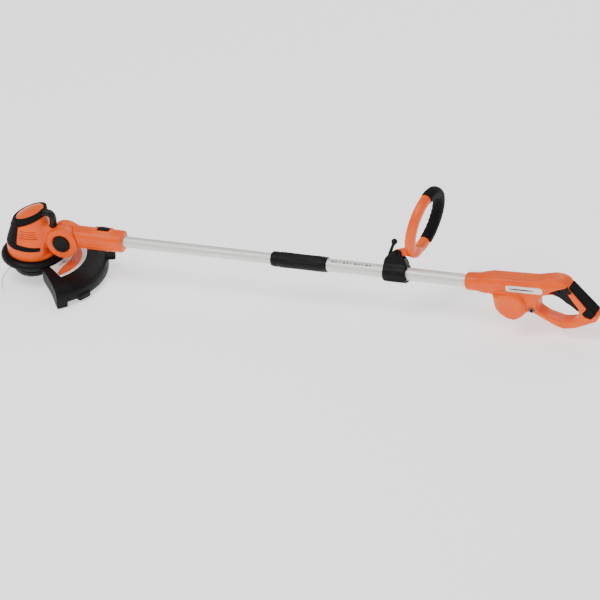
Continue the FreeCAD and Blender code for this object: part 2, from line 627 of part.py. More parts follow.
def make_shaft():
    finish("lower_tube", ring("lower_tube_ring", "tube_radius", "tube_radius - tube_wall",
                              "lower_tube_end - lower_tube_start", ("lower_tube_start", "0", "0"),
                              "+x"), "shaft")
    collar = ring("swivel_collar_ring", "17", "tube_radius", "32", ("66", "0", "0"), "+x")
    notch = box("collar_notch", "12", "4", "3", ("76", "-2", "15.5"))
    finish("swivel_collar", cut("swivel_collar_cut", collar, notch), "shaft")
    plug_body = cylinder("tube_plug_body", "tube_radius - tube_wall", "16", ("lower_tube_end - 16", "0", "0"),
                         "+x")
    plug_head = cylinder("tube_plug_head", "outer_tube_radius - tube_wall - fit", "5",
                         ("lower_tube_end", "0", "0"), "+x")
    plug_hole = cylinder("tube_plug_hole", "7", "40", ("lower_tube_end - 18", "0", "0"), "+x")
    finish("tube_plug", cut("tube_plug_cut", fuse("tube_plug_all", plug_body, plug_head), plug_hole),
           "shaft")
    finish("upper_tube", ring("upper_tube_ring", "outer_tube_radius", "outer_tube_radius - tube_wall",
                              "outer_tube_end - outer_tube_start", ("outer_tube_start", "0", "0"),
                              "+x"), "shaft")
    collet = ring("collet_ring", "15.2", "tube_radius + fit", "18", ("outer_tube_start - 18", "0", "0"),
                  "+x")
    slit = box("collet_slit", "40", "2", "10", ("outer_tube_start - 30", "-1", "8"))
    finish("lock_collet", cut("collet_cut", collet, slit), "shaft")
    sleeve = turned_along_x("lock_sleeve_turn", [
        ("sleeve_start", "tube_radius + gap"), ("sleeve_start", "14.5"),
        ("sleeve_start + 5", "sleeve_radius", "-6"), ("sleeve_end - 5", "sleeve_radius"),
        ("sleeve_end", "15.6", "-7"), ("sleeve_end", "outer_tube_radius + gap"),
        ("outer_tube_start + 0.5", "outer_tube_radius + gap"),
        ("outer_tube_start + 0.5", "15.6"), ("sleeve_start + 5", "15.6"),
        ("sleeve_start + 5", "tube_radius + gap")])
    finish("lock_sleeve", group("lock_sleeve_all", sleeve), "shaft")


# ------------------------------------------------------------------ front handle


def make_clamp():
    liner = ring("clamp_liner_ring", "16", "outer_tube_radius + fit", "50", ("-37", "0", "0"), "+x")
    finish("clamp_liner", cut("clamp_liner_cut", liner,
                              box("clamp_liner_slit", "80", "3", "10", ("-50", "-1.5", "-20"))), "clamp")
    saddle = slab("clamp_saddle", [
        ("-39", "-19"), ("18", "-19"), ("20", "8"), ("19", "32"), ("1", "33"), ("0", "loop_hinge_z + 4"),
        ("-7", "loop_hinge_z + 9", "8"), ("-17", "loop_hinge_z + 6"), ("-26", "36"), ("-37", "31"),
        ("-38.5", "0")], "clamp_half_width")
    barrel = cylinder("clamp_barrel", "20.5", "55", ("-38", "0", "0"), "+x")
    bore = cylinder("clamp_bore", "16 + fit", "80", ("-50", "0", "0"), "+x")
    cheek_gap = box("clamp_cheek_gap", "60", "2 * 7.4", "40", ("loop_hinge_x - 9.5", "-7.4", "32"))
    cam_gap = box("clamp_cam_gap", "24", "2 * 6", "40", ("-44", "-6", "20.5"))
    loop_pin_hole = cylinder("loop_pin_hole", "3", "60", ("loop_hinge_x", "-30", "loop_hinge_z"), "+y")
    lever_pin_hole = cylinder("lever_pin_hole", "2", "60", ("lever_x", "-30", "lever_z"), "+y")
    finish("handle_clamp", cut("clamp_cut", fuse("clamp_all", saddle, barrel), bore, cheek_gap, cam_gap,
                               loop_pin_hole, lever_pin_hole), "clamp")
    finish("loop_pin", group("loop_pin_all", cylinder(
        "loop_pin_rod", "3", "2 * clamp_half_width", ("loop_hinge_x", "-clamp_half_width", "loop_hinge_z"),
        "+y")), "clamp")
    finish("lever_pin", group("lever_pin_all", cylinder(
        "lever_pin_rod", "2", "24", ("lever_x", "-12", "lever_z"), "+y")), "clamp")
    cam = cylinder("lever_cam", "5", "11", ("lever_x", "-5.5", "lever_z"), "+y")
    stalk = slab("lever_stalk", [("-34.8", "26"), ("-27", "30"), ("-18.5", "62"), ("-21", "66"),
                                 ("-24.5", "62")], "4")
    knob = cylinder("lever_knob", "6.5", "13", ("-21", "-6.5", "65"), "+y")
    bore = cylinder("lever_bore", "2 + fit", "30", ("lever_x", "-15", "lever_z"), "+y")
    finish("clamp_lever", cut("lever_cut", fuse("lever_all", cam, stalk, knob), bore), "clamp")


def loop_bar(name, radius, first, last):
    """A round bar along the loop's centre line, an ellipse, between two angles from its top."""
    ellipse = Part.Ellipse(Vector(0, 0, 0), size("loop_half_height"), size("loop_half_width"))
    edge = Part.ArcOfEllipse(ellipse, math.radians(first), math.radians(last)).toShape()
    heading = edge.tangentAt(edge.FirstParameter)
    profile = Part.Wire([Part.Circle(edge.valueAt(edge.FirstParameter), heading, size(radius)).toShape()])
    bar = doc.addObject("Part::Feature", name)
    bar.Shape = Part.Wire([edge]).makePipeShell([profile], True, False)
    return stand(bar, ("loop_offset", "0", "loop_centre"), Rotation(Vector(0, 1, 0), -90))


def make_loop():
    core = fuse("loop_core", loop_bar("loop_core_near", "loop_radius", -180, 0),
                loop_bar("loop_core_far", "loop_radius", 0, 180))
    foot = slab("loop_foot", [
        ("-7", "-4"), ("0", "-8.4", "8.5"), ("14", "-2"), ("32", "7"), ("40", "10"), ("34", "24"),
        ("14", "17"), ("-6", "6")], "7")
    eye = cylinder("loop_eye", "8.5", "14", ("0", "-7", "0"), "+y")
    hole = cylinder("loop_eye_hole", "3 + fit", "30", ("0", "-15", "0"), "+y")
    finish("loop_handle", cut("loop_cut", fuse("loop_all", core, foot, eye), hole), "loop")
    rubber = cut("loop_rubber_skin", loop_bar("loop_rubber_bar", "loop_radius + loop_rubber", -36, 135),
                 loop_bar("loop_rubber_core", "loop_radius", -38, 137))
    finish("loop_grip", rubber, "loop")


# ------------------------------------------------------------------ rear handle


BARREL = [
    ("0", "-18"), ("0", "18"), ("8", "20.5"), ("74", "25"), ("161", "28"), ("206", "38"),
    ("222", "37", "-22"), ("240", "24"), ("205", "-1"), ("178", "-6"), ("161", "-44"), ("145", "-50"),
    ("127", "-58"), ("113", "-65", "-20"), ("100", "-62", "-20"), ("71", "-44"), ("65", "-16"),
    ("57", "-14")]
DOCK = [
    ("66", "-10"), ("84", "-7"), ("114", "-3"), ("140", "-12"), ("142", "-46"), ("127", "-58"),
    ("113", "-65", "-20"), ("100", "-62", "-20"), ("71", "-44")]
GRIP = [
    ("140", "-20"), ("140", "-48"), ("197", "-80"), ("218", "-87", "30"), ("245", "-81", "40"),
    ("295", "-60"), ("302", "-46", "12"), ("291", "-34"), ("240", "24"), ("222", "37", "22"), ("206", "38"),
    ("170", "30")]
FINGER_HOLE = [
    ("165", "-22"), ("160", "-45", "16"), ("181", "-58"), ("216", "-67"), ("232", "-66", "20"),
    ("254", "-52", "30"), ("259", "-37", "8"), ("201", "2"), ("180", "-5")]
BACK_GRIP = [
    ("240", "24"), ("291", "-34"), ("296", "-40"), ("283", "-53"), ("269", "-49"), ("264", "-42"),
    ("276", "-28"), ("249", "8"), ("242", "15")]
BACK_CORE = [
    ("236.8", "21.2"), ("287.8", "-36.8"), ("292.8", "-42.8"), ("279.8", "-55.8"), ("265.8", "-51.8"),
    ("260.8", "-44.8"), ("272.8", "-30.8"), ("245.8", "5.2"), ("238.8", "12.2")]
SIDE_PANEL = [
    ("191", "2"), ("203", "9"), ("215", "14.5"), ("228", "18.5"), ("237", "20"), ("239", "14"),
    ("235", "3"), ("246", "-14"), ("258", "-32"), ("256.5", "-33.5"), ("203", "3")]
TRIGGER = [
    ("190", "-5"), ("196", "4"), ("214", "2"), ("256", "-27"), ("259", "-34"), ("256", "-46"),
    ("250", "-44"), ("226", "-26"), ("206", "-11")]


DOCK_SLOPE = Rotation(Vector(0, 1, 0), -20)


def at_nose(corners):
    """An outline given from the nose, moved to the shaft's station."""
    return [("nose_x + %s" % corner[0],) + tuple(corner[1:]) for corner in corners]


def make_rear_housing():
    barrel = slab("rear_barrel", at_nose(BARREL), "body_half_width")
    dock = slab("rear_dock", at_nose(DOCK), "dock_half_width")
    grip = slab("rear_grip", at_nose(GRIP), "grip_half_width")
    hole = slab("finger_hole", at_nose(FINGER_HOLE), "40")
    outside = cut("rear_outside", fuse("rear_solid", barrel, dock, grip), hole)
    tube_hole = cylinder("rear_tube_hole", "outer_tube_radius", "outer_tube_end - nose_x",
                         ("nose_x", "0", "0"), "+x")
    room = slab("rear_room", at_nose([
        ("24", "-13.5"), ("24", "18"), ("74", "21"), ("161", "24"), ("192", "30"), ("196", "12"),
        ("172", "0"), ("150", "-36"), ("112", "-40"), ("78", "-34"), ("66", "-13")]), "body_half_width - wall")
    dock_room = slab("dock_room", at_nose([
        ("72", "-14"), ("110", "-10"), ("132", "-16"), ("134", "-42"), ("112", "-44"), ("78", "-36")]),
        "dock_half_width - wall")
    contact_slot = box("contact_slot", "26", "46", "34", ("nose_x + 84", "-23", "-76"),
                       DOCK_SLOPE)
    trigger_room = slab("trigger_room", at_nose([
        ("184", "-12"), ("188", "8"), ("206", "22"), ("224", "20"), ("265", "-22"), ("267", "-38"),
        ("250", "-50"), ("206", "-16")]), "8")
    button_hole = cylinder("lock_off_hole", "4.35", "60", ("nose_x + 214.5", "-30", "9"), "+y")
    panel_cut = slab("side_panel_cut", at_nose(SIDE_PANEL), "grip_half_width + 3")
    panel_keep = slab("side_panel_keep", at_nose(SIDE_PANEL), "grip_half_width - 1.5")
    pin_hole = cylinder("trigger_pin_hole", "2", "26", ("nose_x + 200", "-13", "0"), "+y")
    eyelet_hole = cylinder("eyelet_hole_all", "6", "60", ("eyelet_x", "-30", "eyelet_z"), "+y")
    back_cut = cut("back_grip_shell", slab("back_grip_slab", at_nose(BACK_GRIP), "grip_half_width"),
                   slab("back_grip_core", at_nose(BACK_CORE), "grip_half_width - 3"))
    block_seat = terminal_box("terminal_seat")
    panel_ring = cut("side_panel_recess", panel_cut, panel_keep)
    spots = ((60, 19), (130, 22), (188, 26), (118, -54), (206, -75), (250, -72), (278, -59.5))
    screws = []
    screw_holes = []
    head_holes = []
    for index, (across, up) in enumerate(spots):
        place = ("nose_x + %g" % across, "-6", "%g" % up)
        reach = "22" if across < 195 else "16.5"
        screw_holes.append(cylinder("rear_screw_hole_%d" % index, "2", "6 + %s" % reach, place, "+y"))
        head_place = (place[0], "%s - 6" % reach, place[2])
        head_holes.append(cylinder("rear_head_hole_%d" % index, "3.8", "30", head_place, "+y"))
        stem = cylinder("rear_screw_stem_%d" % index, "2", "%s" % reach, place, "+y")
        head = cylinder("rear_screw_head_%d" % index, "3.7", "2.4", head_place, "+y")
        screws.append(fuse("rear_screw_%d" % index, stem, head))
    removed = [room, dock_room, contact_slot, trigger_room, tube_hole, button_hole, panel_ring, pin_hole,
               eyelet_hole, back_cut, block_seat]
    for side, low in (("left", "-100"), ("right", "0")):
        half = box("rear_half_" + side, "400", "100", "300", ("nose_x - 20", low, "-150"))
        shell = common("rear_skin_" + side, outside, half)
        tools = removed + screw_holes + (head_holes if side == "right" else [])
        finish("rear_housing_" + side, cut("rear_cut_" + side, shell, *tools), "shaft")
    finish("rear_screws", group("rear_screws_all", *screws), "shaft")
    finish("back_grip", cut("back_grip_cut", slab("back_grip_pad", at_nose(BACK_GRIP), "grip_half_width"),
                            slab("back_grip_room", at_nose(BACK_CORE), "grip_half_width - 3")), "shaft")
    panel = cut("side_panel_ring", slab("side_panel_pad", at_nose(SIDE_PANEL), "grip_half_width + 1"),
                slab("side_panel_core", at_nose(SIDE_PANEL), "grip_half_width - 1.5"))
    panel = cut("side_panel_holed", panel, cylinder("panel_button_hole", "4.35", "60",
                                                    ("nose_x + 214.5", "-30", "9"), "+y"))
    for side, low in (("left", "-100"), ("right", "0")):
        half = box("panel_half_" + side, "400", "100", "300", ("nose_x", low, "-150"))
        finish("side_panel_" + side, common("side_panel_cut_" + side, panel, half), "shaft")
    label = slab("label_pad", at_nose([
        ("100", "-2"), ("178", "0"), ("182", "4", "4"), ("182", "11"), ("178", "15", "4"), ("100", "13"),
        ("96", "9", "4"), ("96", "2"), ]), "body_half_width + 0.5")
    label = cut("label_plates", label, slab("label_core", at_nose([
        ("80", "-20"), ("200", "-20"), ("200", "30"), ("80", "30")]), "body_half_width"))
    finish("side_labels", label, "shaft")


def terminal_box(name):
    return box(name, "24", "40", "10", ("nose_x + 84", "-20", "-44"), DOCK_SLOPE)


def make_rear_works():
    blade = slab("trigger_blade", at_nose(TRIGGER), "7.4")
    eye = cylinder("trigger_eye", "5", "14.8", ("nose_x + 200", "-7.4", "0"), "+y")
    hole = cylinder("trigger_bore", "2 + fit", "40", ("nose_x + 200", "-20", "0"), "+y")
    finish("trigger", cut("trigger_cut", fuse("trigger_all", blade, eye), hole), "shaft")
    finish("trigger_pin", group("trigger_pin_all", cylinder("trigger_pin_rod", "2", "26",
                                                            ("nose_x + 200", "-13", "0"), "+y")), "shaft")
    pusher = cylinder("lock_off_rod", "4", "2 * grip_half_width + 5",
                      ("nose_x + 214.5", "-grip_half_width - 4", "9"), "+y")
    waist = ring("lock_off_waist", "8", "2.6", "6", ("nose_x + 214.5", "-2", "9"), "+y")
    finish("lock_off_button", cut("lock_off_cut", pusher, waist), "shaft")
    finish("trigger_switch", group("trigger_switch_all",
                                   box("switch_box", "9", "12", "9", ("nose_x + 221.6", "-6", "8"),
                                       Rotation(Vector(0, 1, 0), 45))), "shaft")
    board = box("control_board_plate", "66", "34", "1.6", ("nose_x + 96", "-17", "2"))
    chips = [box("board_part_%d" % index, "8", "8", "5", ("nose_x + %d" % (104 + 18 * index), "-4", "3.6"))
             for index in range(3)]
    finish("control_board", fuse("control_board_all", board, *chips), "shaft")
    block = terminal_box("terminal_block")
    blades = [box("terminal_blade_%d" % index, "12", "1.2", "12", ("nose_x + 88", "%d" % across, "-53"),
                  DOCK_SLOPE) for index, across in enumerate((-12, 0, 12))]
    finish("battery_terminals", fuse("battery_terminals_all", block, *blades), "shaft")
    finish("strap_eyelet", ring("eyelet_ring", "6", "3.2", "2 * body_half_width + 1",
                                ("eyelet_x", "-body_half_width - 0.5", "eyelet_z"), "+y"), "shaft")


# ------------------------------------------------------------------ build, check, write


make_motor_housing()
make_bumper_and_cap()
make_cable_arch()
make_motor()
make_guard()
make_line_head()
make_knuckle()
make_neck()
make_shaft()
make_clamp()
make_loop()
make_rear_housing()
make_rear_works()
doc.recompute()

for item in doc.Objects:
    if "Invalid" in item.State or "Error" in item.State:
        raise RuntimeError("%s failed: %s" % (item.Label, item.State))

os.makedirs("parts", exist_ok=True)
for piece in PARTS:
    shape = piece.Shape
    if shape.isNull() or not shape.isValid() or not shape.Solids:
        raise RuntimeError("%s has no valid shape" % piece.Label)
    print("%-24s %2d solid %10.1f mm3" % (piece.Label, len(shape.Solids), shape.Volume))
    shape.exportStep("parts/%s.step" % piece.Label)
print("%d sub-parts" % len(PARTS))
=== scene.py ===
import math

import bpy
import numpy as np
from mathutils import Matrix, Vector


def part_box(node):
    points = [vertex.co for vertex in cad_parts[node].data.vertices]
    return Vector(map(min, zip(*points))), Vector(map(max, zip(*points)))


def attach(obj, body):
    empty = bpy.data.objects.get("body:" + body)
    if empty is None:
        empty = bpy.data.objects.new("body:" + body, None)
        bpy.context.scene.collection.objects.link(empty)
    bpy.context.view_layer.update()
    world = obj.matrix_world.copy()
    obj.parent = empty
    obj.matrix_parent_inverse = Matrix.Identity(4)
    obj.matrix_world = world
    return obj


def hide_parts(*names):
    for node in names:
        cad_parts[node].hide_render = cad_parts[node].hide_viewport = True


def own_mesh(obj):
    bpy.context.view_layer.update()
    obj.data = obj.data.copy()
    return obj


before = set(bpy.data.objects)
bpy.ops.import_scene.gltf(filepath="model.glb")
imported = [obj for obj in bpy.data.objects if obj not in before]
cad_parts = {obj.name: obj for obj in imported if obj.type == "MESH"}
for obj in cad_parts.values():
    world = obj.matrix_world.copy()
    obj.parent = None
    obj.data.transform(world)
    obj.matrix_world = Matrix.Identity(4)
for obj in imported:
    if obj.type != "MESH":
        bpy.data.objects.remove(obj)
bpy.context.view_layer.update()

# A cordless string trimmer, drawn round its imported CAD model. Each piece is made in millimetres
# in one of five local frames, then placed in metres in the row frame. In every frame X runs back
# along the machine and Z is up, and Y = 0 is the plane where the moulded halves meet.

MM = 0.001
SCALE = Matrix.Scale(MM, 4)

UPPER_TUBE_START = 500
HEAD_PIVOT = (77.9, 50.3)
NECK_PIVOT = (-3, -7)
LOOP_HINGE = (-10, 42)

tube_low, tube_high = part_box("upper_tube")
AXIS = Vector((tube_low.x - UPPER_TUBE_START * MM, 0, (tube_low.z + tube_high.z) / 2))


def shifted(x, y, z):
    return Matrix.Translation(Vector((x, y, z)) * MM)


def turned(degrees, axis):
    return Matrix.Rotation(math.radians(degrees), 4, axis)


def placed(frame_of, spot):
    """A place in a local frame, in metres in the row frame."""
    return frame_of @ (Vector(spot) * MM)


def added(name, data):
    """A new object in the scene."""
    made = bpy.data.objects.new(name, data)
    bpy.context.collection.objects.link(made)
    return made


SHAFT = Matrix.Translation(AXIS)
HEAD = SHAFT @ shifted(-85, 0, -50.3) @ turned(5, "Y")
CLAMP = SHAFT @ shifted(768, 0, 0) @ turned(-30, "X")
LOOP = CLAMP @ shifted(LOOP_HINGE[0], 0, LOOP_HINGE[1]) @ turned(15, "Y")
NOSE = SHAFT @ shifted(919, 0, 0)

# -------- camera, light and world

FRAME_WIDTH = 1.278
DISTANCE = 60.0
SENSOR = 36
VIEW_RIGHT = Vector((0.9276, 0.3594, -0.1012))
VIEW_UP = Vector((-0.1057, 0.5126, 0.852))
VIEW_BACK = VIEW_RIGHT.cross(VIEW_UP).normalized()
VIEW_UP = VIEW_BACK.cross(VIEW_RIGHT).normalized()
AIM = AXIS + Vector((526.7, 0, -97.2)) * MM

camera_data = bpy.data.cameras.new("camera")
camera_data.sensor_width = SENSOR
camera_data.lens = SENSOR * DISTANCE / FRAME_WIDTH
camera_data.clip_end = 200
camera = added("camera", camera_data)
camera.matrix_world = Matrix.Translation(AIM + VIEW_BACK * DISTANCE) @ Matrix(
    (VIEW_RIGHT.normalized(), VIEW_UP, VIEW_BACK)).transposed().to_4x4()
bpy.context.scene.camera = camera


LIGHT_AIM = Vector((0, 0, 0.1))


def area_light(name, spot, size, power):
    data = bpy.data.lights.new(name, "AREA")
    data.shape = "DISK"
    data.size = size
    data.energy = power
    lamp = added(name, data)
    lamp.location = spot
    lamp.rotation_euler = (LIGHT_AIM - Vector(spot)).to_track_quat("-Z", "Y").to_euler()


area_light("key_light", (-1.0, -1.6, 3.6), 2.2, 104)
area_light("fill_light", (2.6, -2.4, 1.8), 2.4, 26)
area_light("back_light", (0.4, 2.8, 2.4), 2.6, 34)

world = bpy.data.worlds.new("studio")
world.use_nodes = True
background = world.node_tree.nodes["Background"]
background.inputs["Color"].default_value = (1, 1, 1, 1)
background.inputs["Strength"].default_value = 0.55
bpy.context.scene.world = world

# -------- materials


class Finish:
    """A node material: a Principled shader with colour, roughness and bump from its own nodes."""

    def __init__(self, name, colour, roughness, **constants):
        self.material = bpy.data.materials.new(name)
        self.material.use_nodes = True
        self.tree = self.material.node_tree
        self.shader = self.tree.nodes["Principled BSDF"]
        self.place = self.node("ShaderNodeTexCoord").outputs["Object"]
        self.set(self.shader, "Base Color", (*colour, 1))
        self.set(self.shader, "Roughness", roughness)
        for socket, value in constants.items():
            self.set(self.shader, socket.replace("_", " "), value)
        self.material.diffuse_color = (*colour, 1)
        self.normal = None

    def node(self, kind, **inputs):
        made = self.tree.nodes.new(kind)
        for socket, value in inputs.items():
            self.set(made, socket.replace("_", " "), value)
        return made

    def set(self, node, socket, value):
        if isinstance(value, bpy.types.NodeSocket):
            self.tree.links.new(value, node.inputs[socket])
        else:
            node.inputs[socket].default_value = value

    def math(self, operation, first, second=0.0):
        node = self.node("ShaderNodeMath")
        node.operation = operation
        self.set(node, 0, first)
        self.set(node, 1, second)
        return node.outputs[0]

    def stretched(self, x, y, z):
        """The object's own coordinates, stretched along each axis."""
        return self.node("ShaderNodeMapping", Vector=self.place, Scale=(x, y, z)).outputs[0]

    def noise(self, scale, detail=3.0, place=None):
        return self.node("ShaderNodeTexNoise", Vector=place or self.place, Scale=scale, Detail=detail,
                         Roughness=0.55).outputs[0]

    def between(self, amount, low, high, first, second):
        """A number that goes from first to second as amount goes from low to high."""
        return self.node("ShaderNodeMapRange", Value=amount, From_Min=low, From_Max=high, To_Min=first,
                         To_Max=second).outputs[0]

    def mix(self, amount, first, second):
        node = self.node("ShaderNodeMix")
        node.data_type = "RGBA"
        self.set(node, 0, amount)
        for socket, value in ((6, first), (7, second)):
            self.set(node, socket, value if isinstance(value, bpy.types.NodeSocket) else (*value, 1))
        return node.outputs[2]

    def bump(self, height, depth, strength=1.0):
        """Adds relief: height from 0 to 1, depth in metres."""
        node = self.node("ShaderNodeBump", Height=height, Distance=depth, Strength=strength)
        if self.normal is not None:
            self.set(node, "Normal", self.normal)
        self.normal = node.outputs[0]
        self.set(self.shader, "Normal", self.normal)

    def colour(self, value):
        self.set(self.shader, "Base Color", value)

    def roughness(self, value):
        self.set(self.shader, "Roughness", value)


def moulded(name, colour, darker, roughness, grain, seam=False, **constants):
    """Injection-moulded plastic: fine spark-eroded grain, faint flow marks and handling wear."""
    made = Finish(name, colour, roughness, **constants)
    flow = made.noise(22, 4)
    base = made.mix(made.between(flow, 0.35, 0.7, 0, 1), colour, darker)
    scuffs = made.noise(160, 5, made.stretched(0.25, 1, 1))
    gloss = made.between(scuffs, 0.4, 0.75, roughness - 0.07, roughness + 0.1)
    if seam:
        split = made.node("ShaderNodeSeparateXYZ", Vector=made.place).outputs["Y"]
        away = made.math("ABSOLUTE", split)
        line = made.between(away, 0.00012, 0.00034, 1, 0)
        base = made.mix(made.math("MULTIPLY", line, 0.75), base, tuple(0.12 * c for c in colour))
        made.bump(made.math("SUBTRACT", 1.0, line), 0.0003)
    made.colour(base)
    made.roughness(gloss)
    made.bump(made.noise(grain, 2), 0.00006, 0.6)
    made.bump(made.noise(35, 2), 0.0004, 0.12)
    return made.material


def make_rubber():
    made = Finish("soft_rubber", (0.004, 0.004, 0.005), 0.72, Specular_IOR_Level=0.13)
    cells = made.node("ShaderNodeTexVoronoi", Vector=made.place, Scale=900.0).outputs["Distance"]
    dust = made.noise(45, 5)
    made.colour(made.mix(made.between(dust, 0.45, 0.8, 0, 0.7), (0.003, 0.003, 0.004), (0.008, 0.008, 0.008)))
    made.roughness(made.between(dust, 0.3, 0.8, 0.66, 0.86))
    made.bump(cells, 0.00012, 0.7)
    made.bump(made.noise(60, 2), 0.0004, 0.15)
    return made.material


def make_tube_metal():
    made = Finish("satin_tube", (0.76, 0.765, 0.71), 0.5, Metallic=0.45, Specular_IOR_Level=0.5)
    drawn = made.noise(700, 3, made.stretched(0.012, 1, 1))
    cloud = made.noise(18, 3, made.stretched(0.4, 1, 1))
    made.colour(made.mix(made.between(drawn, 0.3, 0.7, 0, 1), (0.78, 0.785, 0.73), (0.67, 0.675, 0.62)))
    made.roughness(made.between(cloud, 0.3, 0.7, 0.45, 0.57))
    made.bump(drawn, 0.00003, 0.5)
    return made.material


def make_metal(name, colour, roughness, scale):
    made = Finish(name, colour, roughness, Metallic=1.0)
    brushed = made.noise(scale, 4)
    made.colour(made.mix(made.between(brushed, 0.3, 0.75, 0, 1), colour, tuple(0.72 * c for c in colour)))
    made.roughness(made.between(brushed, 0.3, 0.7, roughness - 0.06, roughness + 0.12))
    made.bump(brushed, 0.00004, 0.5)
    return made.material


def make_line_nylon():
    made = Finish("nylon_filament", (0.74, 0.75, 0.72), 0.32, Subsurface_Weight=0.25,
                  Subsurface_Radius=(0.002, 0.002, 0.002), Specular_IOR_Level=0.5)
    streaks = made.noise(500, 2)
    made.colour(made.mix(made.between(streaks, 0.35, 0.7, 0, 1), (0.76, 0.77, 0.74), (0.62, 0.63, 0.60)))
    made.bump(streaks, 0.00008, 0.4)
    return made.material


def make_film(name, colour):
    """Printed film: near flat, with a fine emboss and a little yellowing towards its dull patches."""
    made = Finish(name, colour, 0.34, Coat_Weight=0.2, Coat_Roughness=0.2)
    patches = made.noise(60, 3)
    made.colour(made.mix(made.between(patches, 0.4, 0.75, 0, 1), colour, tuple(0.86 * c for c in colour)))
    made.roughness(made.between(patches, 0.3, 0.8, 0.28, 0.42))
    made.bump(made.noise(1500, 1), 0.00003, 0.4)
    return made.material


ORANGE = (0.90, 0.105, 0.0)
ORANGE_DARK = (0.78, 0.078, 0.0)
BLACK = (0.003, 0.003, 0.0035)
BLACK_WORN = (0.006, 0.006, 0.0065)

orange = moulded("orange_shell", ORANGE, ORANGE_DARK, 0.42, 1400, seam=True, Specular_IOR_Level=0.3)
orange_plain = moulded("orange_inlay", ORANGE, ORANGE_DARK, 0.40, 1400, Specular_IOR_Level=0.3)
black = moulded("black_shell", BLACK, BLACK_WORN, 0.50, 1100, Specular_IOR_Level=0.15)
black_gloss = moulded("black_smooth", BLACK, BLACK_WORN, 0.38, 1600, Specular_IOR_Level=0.22)
rubber = make_rubber()
tube_metal = make_tube_metal()
steel = make_metal("zinc_steel", (0.56, 0.56, 0.57), 0.34, 420)
dull_steel = make_metal("dull_steel", (0.16, 0.165, 0.16), 0.5, 420)
copper = make_metal("wound_copper", (0.50, 0.22, 0.09), 0.4, 900)
brass = make_metal("brass_contact", (0.74, 0.56, 0.24), 0.3, 420)
nylon = make_line_nylon()
film_white = make_film("film_white", (0.80, 0.80, 0.775))
film_orange = make_film("film_orange", (0.66, 0.09, 0.02))
film_dark = make_film("film_dark", (0.02, 0.02, 0.022))
film_grey = make_film("film_grey", (0.36, 0.38, 0.37))
film_mark = make_film("film_mark", (0.13, 0.13, 0.13))
board_green = moulded("board_mask", (0.03, 0.13, 0.05), (0.02, 0.10, 0.04), 0.35, 900)

# -------- shapes from distance fields


def smooth_min(a, b, blend):
    share = np.clip(0.5 + 0.5 * (b - a) / blend, 0, 1)
    return b * (1 - share) + a * share - blend * share * (1 - share)


def smooth_max(a, b, blend):
    return -smooth_min(-a, -b, blend)


def both(a, b, rounding):
    """What is inside both fields, with its edge rounded."""
    a = a + rounding
    b = b + rounding
    return np.minimum(np.maximum(a, b), 0) + np.hypot(np.maximum(a, 0), np.maximum(b, 0)) - rounding


def less(a, b, blend):
    """The first field without the second."""
    return smooth_max(a, -b, blend)


def between(value, low, high):
    """Less than 0 where a value is within a range."""
    return np.abs(value - (low + high) / 2) - (high - low) / 2


def disc(u, v, centre, radius):
    return np.hypot(u - centre[0], v - centre[1]) - radius


def softened(points, rounds=2):
    """An outline with its corners cut, so that it reads as a smooth curve."""
    points = np.array(points, float)
    for _ in range(rounds):
        ahead = np.roll(points, -1, 0)
        points = np.stack((0.75 * points + 0.25 * ahead, 0.25 * points + 0.75 * ahead), 1).reshape(-1, 2)
    return points


def filleted(corners):
    """An outline of (u, v) or (u, v, radius) corners, the rounded ones drawn as short arcs."""
    made = []
    spots = [np.array(c[:2], float) for c in corners]
    for index, corner in enumerate(corners):
        here = spots[index]
        if len(corner) == 2 or corner[2] <= 0:
            made.append(here)
            continue
        back = spots[index - 1] - here
        ahead = spots[(index + 1) % len(spots)] - here
        long_back, long_ahead = np.hypot(*back), np.hypot(*ahead)
        back, ahead = back / long_back, ahead / long_ahead
        half = math.acos(float(np.clip(back @ ahead, -1, 1))) / 2
        reach = min(corner[2] / math.tan(half), 0.48 * long_back, 0.48 * long_ahead)
        radius = reach * math.tan(half)
        centre = here + (back + ahead) / np.hypot(*(back + ahead)) * radius / math.sin(half)
        first = here + back * reach - centre
        last = here + ahead * reach - centre
        sweep = math.atan2(first[0] * last[1] - first[1] * last[0], first @ last)
        steps = max(2, int(abs(sweep) / 0.26) + 1)
        for step in range(steps + 1):
            angle = sweep * step / steps
            turn = np.array(((math.cos(angle), -math.sin(angle)), (math.sin(angle), math.cos(angle))))
            made.append(centre + turn @ first)
    return np.array(made)


def inside_of(points, u, v):
    """The signed distance to an outline, less than 0 inside."""
    nearest = None
    inside = None
    for (ax, ay), (bx, by) in zip(points, np.roll(points, -1, 0)):
        ex, ey = bx - ax, by - ay
        wx, wy = u - ax, v - ay
        along = np.clip((wx * ex + wy * ey) / (ex * ex + ey * ey + 1e-12), 0, 1)
        apart = (wx - ex * along) ** 2 + (wy - ey * along) ** 2
        above, below, left = v >= ay, v < by, ex * wy > ey * wx
        crossed = (above & below & left) | ~(above | below | left)
        nearest = apart if nearest is None else np.minimum(nearest, apart)
        inside = crossed if inside is None else inside ^ crossed
    return np.where(inside, -1, 1) * np.sqrt(nearest)


CORNERS = [(i, j, k) for i in (0, 1) for j in (0, 1) for k in (0, 1)]


